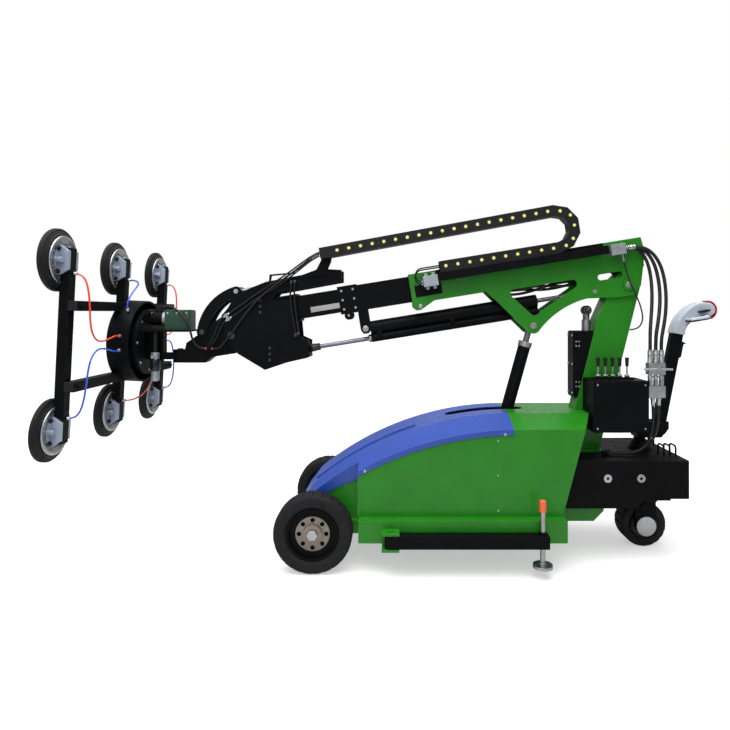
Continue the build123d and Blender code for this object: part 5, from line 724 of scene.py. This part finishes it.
# Its lighter edge colour is partly wear and partly painted highlight.
gearbox_green = coating("gearbox_green", shade(32, 68, 54), 0.4, grain=500.0, relief=0.2, dark=0.75,
                        wear_and_highlight=shade(88, 128, 108))
dress(
    "rotator_motor", gearbox_green,
    (cast_alloy, lambda place: place.x < gearbox_end),
    (black_coat, lambda place: place.x < motor_top),
)
gearbox_fins = bmesh.new()
fin_count = 9
fin_sheet = 0.005
fin_first = -1.375
fin_run = 0.125
side_fin = (1.258, (fin_sheet, 0.118, 0.066))
top_fin = (1.3295, (fin_sheet, 0.080, 0.006))
for number in range(fin_count):
    along = fin_first + fin_run * number / (fin_count - 1)
    for high, reach in (side_fin, top_fin):
        add_block(gearbox_fins, (along, 0.0, high), reach)
bevelled(shown("gearbox_fins", gearbox_fins, gearbox_green, "swing"), "fin_edge", 0.0012)
gearbox_bolts = side_seats("rotator_motor", (-1.366, 1.312), (-1.3125, 1.312), (-1.259, 1.312))
fasteners("gearbox_bolts", gearbox_bolts, 0.010, 0.005, "swing", zinc)
filter_cap_height = 1.10
dress("vacuum_filter", cast_alloy, (moulded_black, lambda place: place.z > filter_cap_height))
smoked_bowl = coating("smoked_bowl", shade(20, 22, 24), 0.16, relief=0.03, shine=0.45)
filter_foot = Vector((-1.430, -0.064, 0.988))
bowl_sides = 48
filter_bowl = bmesh.new()
turned(filter_bowl, ((0.0228, 0.0), (0.0255, 0.003), (0.0275, 0.014), (0.0275, 0.056), (0.0255, 0.067),
                     (0.0228, 0.070)), filter_foot, upright, bowl_sides)
shown("filter_bowl", filter_bowl, smoked_bowl, "swing")
head_middle = Vector((-1.656, 0.0, 1.160))
head_lean = math.radians(2.7)
head_out = Vector((-math.cos(head_lean), 0.0, math.sin(head_lean)))
head_up = Vector((math.sin(head_lean), 0.0, math.cos(head_lean)))
head_across = Vector((0.0, -1.0, 0.0))


def on_head(across, up, out):
    """Row place of a point given across, up and out from the middle of the suction frame."""
    return head_middle + across * head_across + up * head_up + out * head_out


bearing_back = -0.1706
bearing_ring = (0.15, 0.17)


def on_bearing(place):
    """Whether a place lies on the back of the rotator's bearing ring."""
    offset = place - head_middle
    out = offset.dot(head_out)
    return out < bearing_back and bearing_ring[0] < (offset - out * head_out).length < bearing_ring[1]


dress("swing_bracket", black_coat, (zinc, on_bearing))
dress("rotator_drum", black_coat)

# Suction frame: three black square uprights on two cross tubes, clamped with bolts.
# Six alloy cup castings straddle the uprights, and each holds a black rubber lip under a steel ring.
dress("frame_bars", black_coat)
end_plugs = bmesh.new()
plug_sheet = 0.004
tube_bore = 0.046
upright_spread = 0.543
upright_half = 0.462
cross_half = 0.575
cross_height = 0.192
cross_back = -0.0482
for side in (-1.0, 1.0):
    for up in (-cross_height, cross_height):
        add_block(end_plugs, on_head(side * (cross_half + plug_sheet / 2), up, cross_back),
                  (tube_bore, plug_sheet, tube_bore), head_lean)
    for across in (-upright_spread, 0.0, upright_spread):
        add_block(end_plugs, on_head(across, side * (upright_half + plug_sheet / 2), 0.0),
                  (tube_bore, tube_bore, plug_sheet), head_lean)
bevelled(shown("bar_end_plugs", end_plugs, moulded_black, "suction"), "plug_edge", 0.0015)
cup_rubber = coating("cup_rubber", shade(19, 19, 21), 0.62, grain=420.0, relief=0.12, dark=0.75, shine=0.25)
# Its lighter edge colour is partly wear and partly painted highlight.
cup_alloy = coating("cup_alloy", shade(158, 168, 186), 0.46, metal=0.45, grain=260.0, relief=0.2, dark=0.82,
                    wear_and_highlight=shade(204, 210, 218), edge=0.0025)
dress("cup_castings", cup_alloy)
dress("cup_rubbers", cup_rubber)
cup_height = 0.405
casting_back = 0.0242
clamp_ring = ((0.078, 0.0018), (0.078, -0.003), (0.081, -0.005), (0.098, -0.005), (0.1005, -0.0075),
              (0.1125, -0.0075), (0.116, -0.0045), (0.116, 0.0018))
lip_root = (0.117, 0.026)
lip_slope = 0.545
rib_radii = (0.1215, 0.1445)
rib_steps = ((-0.0032, -0.0008), (-0.0018, -0.0036), (0.0018, -0.0016), (0.0032, 0.0028))
cup_sides = 64
ring_screw_count = 8
ring_screw_circle = 0.090
ring_screw_back = 0.0192
saddle_bolt_sides = (-0.046, 0.046)
saddle_bolt_rises = (-0.054, 0.054)
cup_ring = bmesh.new()
cup_ribs = bmesh.new()
ring_screws = []
saddle_bolts = []
for across in (-upright_spread, 0.0, upright_spread):
    for up in (-cup_height, cup_height):
        turned(cup_ring, clamp_ring, on_head(across, up, casting_back), head_out, cup_sides)
        for rib_radius in rib_radii:
            lift = on_head(across, up, lip_root[1] + lip_slope * (rib_radius - lip_root[0]))
            rib = [(rib_radius + step, rise) for step, rise in rib_steps]
            turned(cup_ribs, rib, lift, head_out, cup_sides)
        for number in range(ring_screw_count):
            angle = 2 * math.pi * (number + 0.5) / ring_screw_count
            spot = on_head(across + ring_screw_circle * math.cos(angle),
                           up + ring_screw_circle * math.sin(angle), ring_screw_back)
            ring_screws.append((spot, -head_out))
        for side in saddle_bolt_sides:
            for rise in saddle_bolt_rises:
                saddle_bolts.append((on_head(across + side, up + rise, casting_back), -head_out))
shown("cup_clamp_rings", cup_ring, zinc, "suction")
shown("cup_back_ribs", cup_ribs, cup_rubber, "suction")
fasteners("cup_ring_screws", ring_screws, 0.009, 0.004, "suction", dull_zinc, round_head)
fasteners("cup_saddle_bolts", saddle_bolts, 0.017, 0.011, "suction", moulded_black)

# Hydraulic hoses: three thick rubber hoses, two of them ribbed, and a thin one hang from the rear hose
# block to the valve couplings and the mast. Each starts in a crimped plated sleeve.


def cord_line(name, route):
    """Smooth open line that follows the corners of a cord's route, in metres."""
    line = bpy.data.curves.new(name, "CURVE")
    line.dimensions = "3D"
    course = line.splines.new("NURBS")
    course.points.add(len(route) - 1)
    for point, place in zip(course.points, route):
        point.co = (*place, 1.0)
    course.order_u = 3
    course.use_endpoint_u = True
    course.resolution_u = 40
    return line


def cord_points(line):
    """Places read along a cord's smooth line."""
    probe = placed("cord_probe", line)
    bpy.context.view_layer.update()
    read = bpy.data.meshes.new_from_object(probe)
    places = [Vector(corner.co) for corner in read.vertices]
    bpy.data.objects.remove(probe)
    bpy.data.meshes.remove(read)
    return places


def tube_piece(name, places, width, coat, rib, pitch=0.006, sides=14):
    """Closed tube along the places, with grooves as deep as its rib."""
    tube = bmesh.new()
    rings = []
    heading = (places[1] - places[0]).normalized()
    across = heading.orthogonal().normalized()
    run = 0.0
    for number, place in enumerate(places):
        ahead = places[min(number + 1, len(places) - 1)] - places[max(number - 1, 0)]
        turn = heading.rotation_difference(ahead.normalized())
        across.rotate(turn)
        heading = ahead.normalized()
        run += (place - places[max(number - 1, 0)]).length
        radius = width / 2 - rib * (0.5 - 0.5 * math.cos(2 * math.pi * run / pitch))
        upward = heading.cross(across)
        rings.append([
            tube.verts.new(place + radius * (math.cos(angle) * across + math.sin(angle) * upward))
            for angle in (2 * math.pi * step / sides for step in range(sides))
        ])
    for ring, following in zip(rings, rings[1:]):
        for step in range(sides):
            after = (step + 1) % sides
            wall = tube.faces.new((ring[step], ring[after], following[after], following[step]))
            wall.smooth = True
    tube.faces.new(rings[0][::-1])
    tube.faces.new(rings[-1])
    return linked(name, tube, coat)


def hose_along(name, route, width, rib=0.0, sleeve=None, sleeve_way=None):
    """Rubber hose along a route, with the places on its line. A sleeve round its
    start is given by the ending of its name, its profile and its body."""
    places = cord_points(cord_line(name, route))
    hose = tube_piece(name, places, width, hose_rubber, rib)
    if sleeve is not None:
        ending, profile, body = sleeve
        collar = bmesh.new()
        turned(collar, profile, places[0], sleeve_way or places[1] - places[0])
        shown(name + ending, collar, zinc, body)
    return hose, places


hose_rubber = coating("hose_rubber", shade(19, 19, 21), 0.4, dark=0.78, shine=0.3)
hose_width = 0.019
thin_hose_width = 0.008
hose_rib = 0.0007
crimp_steps = (
    (0.50, 0.0), (0.72, 0.0), (0.76, 0.002), (0.76, 0.008), (0.70, 0.010), (0.70, 0.016), (0.76, 0.018),
    (0.76, 0.026), (0.70, 0.028), (0.70, 0.034), (0.74, 0.036), (0.68, 0.042), (0.50, 0.042),
)
hose_routes = {
    "hose_outer": (
        (1.194, -0.135, 1.6721), (1.2568, -0.135, 1.6823), (1.322, -0.140, 1.654), (1.366, -0.150, 1.584),
        (1.385, -0.162, 1.494), (1.387, -0.175, 1.398), (1.376, -0.189, 1.300), (1.355, -0.200, 1.210),
        (1.346, -0.204, 1.170), (1.346, -0.204, 1.1162),
    ),
    "hose_middle": (
        (1.194, -0.115, 1.6721), (1.2489, -0.115, 1.681), (1.303, -0.120, 1.655), (1.341, -0.130, 1.592),
        (1.358, -0.143, 1.510), (1.360, -0.160, 1.422), (1.350, -0.178, 1.338), (1.332, -0.195, 1.258),
        (1.316, -0.204, 1.186), (1.316, -0.204, 1.1162),
    ),
    "hose_inner": (
        (1.194, -0.095, 1.6721), (1.241, -0.095, 1.6797), (1.286, -0.100, 1.654), (1.314, -0.110, 1.598),
        (1.326, -0.122, 1.525), (1.326, -0.138, 1.446), (1.318, -0.156, 1.366), (1.305, -0.174, 1.290),
        (1.292, -0.192, 1.222), (1.286, -0.204, 1.160), (1.286, -0.204, 1.1162),
    ),
    "hose_thin": (
        (1.1747, -0.115, 1.6392), (1.1842, -0.115, 1.5804), (1.212, -0.112, 1.496), (1.252, -0.106, 1.418),
        (1.284, -0.100, 1.344), (1.296, -0.098, 1.280), (1.278, -0.097, 1.238), (1.247, -0.090, 1.222),
        (1.240, -0.0572, 1.221),
    ),
}
for hose_name, route in hose_routes.items():
    thick = thin_hose_width if hose_name == "hose_thin" else hose_width
    ribs = hose_rib if hose_name in ("hose_outer", "hose_inner") else 0.0
    crimp = ("_crimp", [(share * thick, height) for share, height in crimp_steps], "boom")
    hose, _ = hose_along(hose_name, route, thick, ribs, crimp)
    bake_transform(hose)
    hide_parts("hydraulic_hoses")

# Return hoses: two rubber hoses drop from the valve block behind the control box and lie along the
# top of the rear housing to two gland blocks. Each hangs from a plated sleeve.
return_hose_width = 0.014
return_crimp = ("_crimp", (
    (0.0066, 0.0), (0.0125, 0.0), (0.0125, 0.012), (0.0100, 0.014), (0.0100, 0.040), (0.0085, 0.044),
    (0.0066, 0.044),
), "chassis")
gland_reach = (0.026, 0.026, 0.025)
gland_height = 0.5525
gland_ahead = 0.012
gland_blocks = bmesh.new()
for hose_name, route in (
    ("return_hose_left", (
        (1.300, -0.204, 0.8625), (1.300, -0.204, 0.800), (1.303, -0.202, 0.740), (1.300, -0.196, 0.672),
        (1.282, -0.188, 0.610), (1.246, -0.180, 0.572), (1.200, -0.176, 0.5555), (1.140, -0.172, 0.553),
        (1.100, -0.1685, 0.553), (1.066, -0.166, 0.553),
    )),
    ("return_hose_right", (
        (1.332, -0.204, 0.8625), (1.332, -0.204, 0.790), (1.330, -0.200, 0.720), (1.318, -0.190, 0.650),
        (1.290, -0.178, 0.598), (1.250, -0.164, 0.566), (1.200, -0.154, 0.5545), (1.150, -0.146, 0.553),
        (1.118, -0.142, 0.553), (1.090, -0.140, 0.553),
    )),
):
    hose, _ = hose_along(hose_name, route, return_hose_width, 0.0, return_crimp, -upright)
    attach(hose, "chassis")
    add_block(gland_blocks, (route[-1][0] - gland_ahead, route[-1][1], gland_height), gland_reach)
bevelled(shown("return_hose_glands", gland_blocks, black_iron, "chassis"), "gland_edge", 0.003)

# Boom inner hoses: three rubber hoses under the boom's tube, seen through the window of its side plates.
# They hang between the plates, and both ends of each go up into the tube.
inner_hose_width = 0.016
inner_hose_routes = {
    "boom_hose_near": (
        (-0.715, 0.0885, -0.030), (-0.702, 0.066, -0.030), (-0.655, 0.050, -0.028), (-0.575, 0.046, -0.020),
        (-0.490, 0.056, -0.010), (-0.405, 0.072, -0.004), (-0.330, 0.074, -0.002), (-0.262, 0.070, 0.0),
        (-0.246, 0.0885, 0.0),
    ),
    "boom_hose_far": (
        (-0.690, 0.0885, 0.022), (-0.676, 0.074, 0.022), (-0.620, 0.072, 0.020), (-0.545, 0.066, 0.018),
        (-0.470, 0.050, 0.016), (-0.390, 0.046, 0.018), (-0.310, 0.052, 0.022), (-0.250, 0.064, 0.024),
        (-0.232, 0.0885, 0.024),
    ),
    "boom_hose_outer": (
        (-0.790, 0.0885, -0.004), (-0.752, 0.0765, -0.004), (-0.695, 0.0725, -0.004),
        (-0.625, 0.0735, -0.006), (-0.560, 0.074, -0.014), (-0.500, 0.076, -0.024), (-0.430, 0.066, -0.032),
        (-0.360, 0.052, -0.034), (-0.310, 0.050, -0.034), (-0.262, 0.055, -0.034), (-0.224, 0.070, -0.034),
        (-0.200, 0.0885, -0.034),
    ),
}
for hose_name, boom_route in inner_hose_routes.items():
    route = [on_boom(*place) for place in boom_route]
    hose, _ = hose_along(hose_name, route, inner_hose_width)
    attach(hose, "boom")

# Block hoses: two thin rubber hoses come out of the chain's lower end and loop down into the front
# hose block, each in a plated union.
block_hose_width = 0.008
block_hose_routes = {
    "block_hose_near": (
        (-1.030, 0.272, -0.132), (-1.075, 0.272, -0.132), (-1.1167, 0.272, -0.132), (-1.1473, 0.272, -0.132),
        (-1.169, 0.2503, -0.132), (-1.169, 0.2197, -0.132), (-1.1473, 0.198, -0.132), (-1.132, 0.198, -0.132),
    ),
    "block_hose_far": (
        (-1.030, 0.264, -0.104), (-1.075, 0.264, -0.104), (-1.1155, 0.264, -0.104), (-1.1486, 0.264, -0.104),
        (-1.172, 0.2406, -0.104), (-1.172, 0.2074, -0.104), (-1.1486, 0.184, -0.104), (-1.132, 0.184, -0.104),
    ),
}
union_profile = ((0.0036, 0.0), (0.0064, 0.0), (0.0064, 0.008), (0.0050, 0.010), (0.0036, 0.010))
block_unions = bmesh.new()
for hose_name, boom_route in block_hose_routes.items():
    route = [on_boom(*place) for place in boom_route]
    hose, places = hose_along(hose_name, route, block_hose_width)
    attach(hose, "boom")
    turned(block_unions, union_profile, places[-1], places[-2] - places[-1])
shown("block_hose_unions", block_unions, zinc, "boom")

# Head cables: two rubber cables along the boom head, one to the clip on the tilt bracket and one on
# from the clip to the rotator motor. The first leaves the chain in a plated gland, and orange ties hold
# both at the clip.
cable_width = 0.012
gland_profile = ((0.0056, -0.016), (0.0085, -0.016), (0.0085, 0.0), (0.0105, 0.0), (0.0105, 0.014),
                 (0.0085, 0.017), (0.0085, 0.040), (0.0072, 0.046), (0.0056, 0.046))
tie_profile = ((0.0055, 0.0), (0.0072, 0.0), (0.0072, 0.005), (0.0055, 0.005))
tie_places = (-1.1115, -1.1460)
clip_line = (-0.050, 1.113)
cable_routes = {
    "head_cable": ("head_cables", "section_2", "tilt", (
        (-0.505, -0.112, 1.638), (-0.548, -0.111, 1.616), (-0.596, -0.105, 1.580), (-0.655, -0.099, 1.537),
        (-0.722, -0.095, 1.490), (-0.790, -0.092, 1.440), (-0.852, -0.091, 1.385), (-0.905, -0.090, 1.325),
        (-0.950, -0.090, 1.262), (-0.998, -0.088, 1.196), (-1.046, -0.080, 1.140), (-1.070, -0.060, 1.120),
        (-1.090, -0.050, 1.1135), (-1.1176, -0.050, 1.113),
    )),
    "rotator_cable": ("rotator_cables", "tilt", "swing", (
        (-1.1422, -0.050, 1.113), (-1.172, -0.0505, 1.113), (-1.197, -0.064, 1.130), (-1.217, -0.076, 1.166),
        (-1.226, -0.080, 1.212), (-1.247, -0.080, 1.264), (-1.276, -0.076, 1.308), (-1.316, -0.066, 1.340),
        (-1.364, -0.052, 1.353), (-1.412, -0.041, 1.345), (-1.4474, -0.036, 1.3246), (-1.477, -0.036, 1.326),
    )),
}
for cable_name, (cable_node, near_body, far_body, route) in cable_routes.items():
    gland = ("_gland", gland_profile, near_body) if near_body == "section_2" else None
    cable, _ = hose_along(cable_name, route, cable_width, sleeve=gland)
    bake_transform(cable)
    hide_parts(cable_node)
tie_band = bmesh.new()
for along in tie_places:
    turned(tie_band, tie_profile, Vector((along, *clip_line)), Vector((-1.0, 0.0, 0.0)))
shown("cable_ties", tie_band, jack_orange, "tilt")

# Drop hoses: two short rubber hoses down the side of the head bracket.
# Each end goes into a dark steel elbow that is screwed to the bracket.
elbow_blocks = bmesh.new()
elbow_reach = (0.015, 0.020, 0.018)
elbow_rise = 0.006
elbow_set_back = 0.002
drop_hose_width = 0.010
for hose_name, route in (
    ("head_hose_front", (
        (-0.662, -0.084, 1.480), (-0.666, -0.084, 1.450), (-0.668, -0.083, 1.412), (-0.665, -0.082, 1.365),
        (-0.658, -0.081, 1.315), (-0.649, -0.081, 1.266), (-0.641, -0.081, 1.224), (-0.638, -0.081, 1.196),
    )),
    ("head_hose_rear", (
        (-0.642, -0.084, 1.483), (-0.645, -0.084, 1.450), (-0.645, -0.083, 1.412), (-0.642, -0.082, 1.365),
        (-0.636, -0.081, 1.315), (-0.630, -0.081, 1.266), (-0.626, -0.081, 1.230), (-0.625, -0.081, 1.206),
    )),
):
    hose, _ = hose_along(hose_name, route, drop_hose_width)
    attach(hose, "section_2")
    for spot, rise in ((route[0], elbow_rise), (route[-1], -elbow_rise)):
        add_block(elbow_blocks, Vector(spot) + Vector((0.0, elbow_set_back, rise)), elbow_reach)
bevelled(shown("head_hose_elbows", elbow_blocks, oiled_steel, "section_2"), "elbow_edge", 0.003)

# Tilt hoses: two rubber hoses come out of the chain's open end and follow the head bracket to a plated
# coupling on its side. A second pair goes on to the clip on the tilt bracket.
tilt_hose_width = 0.009
coupling_place = Vector((-1.020, -0.079, 1.291))
coupling_lean = math.radians(32.7)
coupling_reach = (0.016, 0.014, 0.044)
tilt_hose_routes = {
    "tilt_hose_upper": (
        (-0.494, -0.130, 1.652), (-0.540, -0.126, 1.6305), (-0.596, -0.113, 1.5935), (-0.660, -0.099, 1.549),
        (-0.730, -0.086, 1.503), (-0.800, -0.080, 1.4565), (-0.870, -0.0785, 1.412), (-0.940, -0.0785, 1.362),
        (-0.995, -0.0785, 1.3219), (-1.0201, -0.0785, 1.3058),
    ),
    "tilt_hose_lower": (
        (-0.491, -0.136, 1.632), (-0.536, -0.133, 1.609), (-0.588, -0.120, 1.571), (-0.646, -0.106, 1.527),
        (-0.716, -0.090, 1.478), (-0.775, -0.0785, 1.442), (-0.838, -0.0775, 1.407), (-0.900, -0.0775, 1.362),
        (-0.960, -0.078, 1.3152), (-0.9855, -0.0785, 1.2983), (-1.0066, -0.0785, 1.2848),
    ),
    "tilt_tail_upper": (
        (-1.0335, -0.0785, 1.2972), (-1.0545, -0.0785, 1.2837), (-1.071, -0.0765, 1.255),
        (-1.085, -0.072, 1.219), (-1.100, -0.065, 1.186), (-1.118, -0.0575, 1.156), (-1.1365, -0.052, 1.1275),
    ),
    "tilt_tail_lower": (
        (-1.020, -0.0785, 1.2762), (-1.041, -0.0785, 1.2627), (-1.0575, -0.0765, 1.234),
        (-1.0715, -0.072, 1.201), (-1.0875, -0.065, 1.171), (-1.105, -0.0575, 1.148),
        (-1.1225, -0.052, 1.127),
    ),
}
nipple_profile = ((0.004, 0.0), (0.0066, 0.0), (0.0066, 0.007), (0.0056, 0.009), (0.0056, 0.013),
                  (0.004, 0.014))
tilt_unions = bmesh.new()
add_block(tilt_unions, coupling_place, coupling_reach, -coupling_lean)
for hose_name, route in tilt_hose_routes.items():
    hose, places = hose_along(hose_name, route, tilt_hose_width)
    union_ends = [(places[0], places[1] - places[0])]
    if hose_name.startswith("tilt_tail"):
        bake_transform(hose)
    else:
        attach(hose, "section_2")
        union_ends.append((places[-1], places[-2] - places[-1]))
    for spot, way in union_ends:
        turned(tilt_unions, nipple_profile, spot, way)
shown("tilt_hose_couplings", tilt_unions, zinc, "section_2")

# Vacuum tubes: red and blue plastic tubes from the rotator's drum to the six cups.
# Both ends of each are pushed into plated fittings.
tube_width = 0.009
tube_red = coating("red_tube_plastic", shade(226, 60, 30), 0.28, grain=600.0, relief=0.03, dark=0.88,
                   gloss=0.4)
tube_blue = coating("blue_tube_plastic", shade(36, 76, 196), 0.28, grain=600.0, relief=0.03, dark=0.88,
                    gloss=0.4)
push_fitting = ((0.004, 0.0), (0.009, 0.0), (0.009, 0.010), (0.0075, 0.012), (0.0075, 0.020), (0.0062, 0.022),
                (0.004, 0.022))
outer_tube = (
    (0.543, 0.345, -0.0242), (0.543, 0.345, -0.058), (0.541, 0.318, -0.086), (0.537, 0.262, -0.100),
    (0.531, 0.190, -0.105), (0.520, 0.118, -0.104), (0.495, 0.058, -0.103), (0.448, 0.020, -0.104),
    (0.386, 0.018, -0.106), (0.324, 0.032, -0.108), (0.2686, 0.0426, -0.110), (0.2276, 0.036, -0.110),
)
middle_tube = (
    (0.0, 0.345, -0.0242), (0.0, 0.345, -0.056), (0.012, 0.338, -0.088), (0.044, 0.322, -0.110),
    (0.092, 0.300, -0.118), (0.140, 0.268, -0.119), (0.172, 0.230, -0.116), (0.1787, 0.1916, -0.113),
    (0.1572, 0.1686, -0.112),
)
for tube_name, tube_node, tube_coat, tube_route, flip_across, flip_up in (
    ("red_tube_left", "red_tubes", tube_red, outer_tube, 1, 1),
    ("red_tube_right", "red_tubes", tube_red, outer_tube, -1, 1),
    ("red_tube_middle", "red_tubes", tube_red, middle_tube, -1, -1),
    ("blue_tube_left", "blue_tubes", tube_blue, outer_tube, 1, -1),
    ("blue_tube_right", "blue_tubes", tube_blue, outer_tube, -1, -1),
    ("blue_tube_middle", "blue_tubes", tube_blue, middle_tube, 1, 1),
):
    route = [on_head(flip_across * across, flip_up * up, out) for across, up, out in tube_route]
    line = cord_line(tube_name, route)
    places = cord_points(line)
    line.splines[0].resolution_u = 10
    line.bevel_depth = tube_width / 2
    line.bevel_resolution = 3
    line.use_fill_caps = True
    line.materials.append(tube_coat)
    tube = placed(tube_name, line)
    tube_ends = bmesh.new()
    for spot, way in ((places[0], places[1] - places[0]), (places[-1], places[-2] - places[-1])):
        turned(tube_ends, push_fitting, spot, way)
    fitting = shown(tube_name + "_ends", tube_ends, zinc, "suction")
    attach(tube, "suction")
    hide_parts(tube_node)
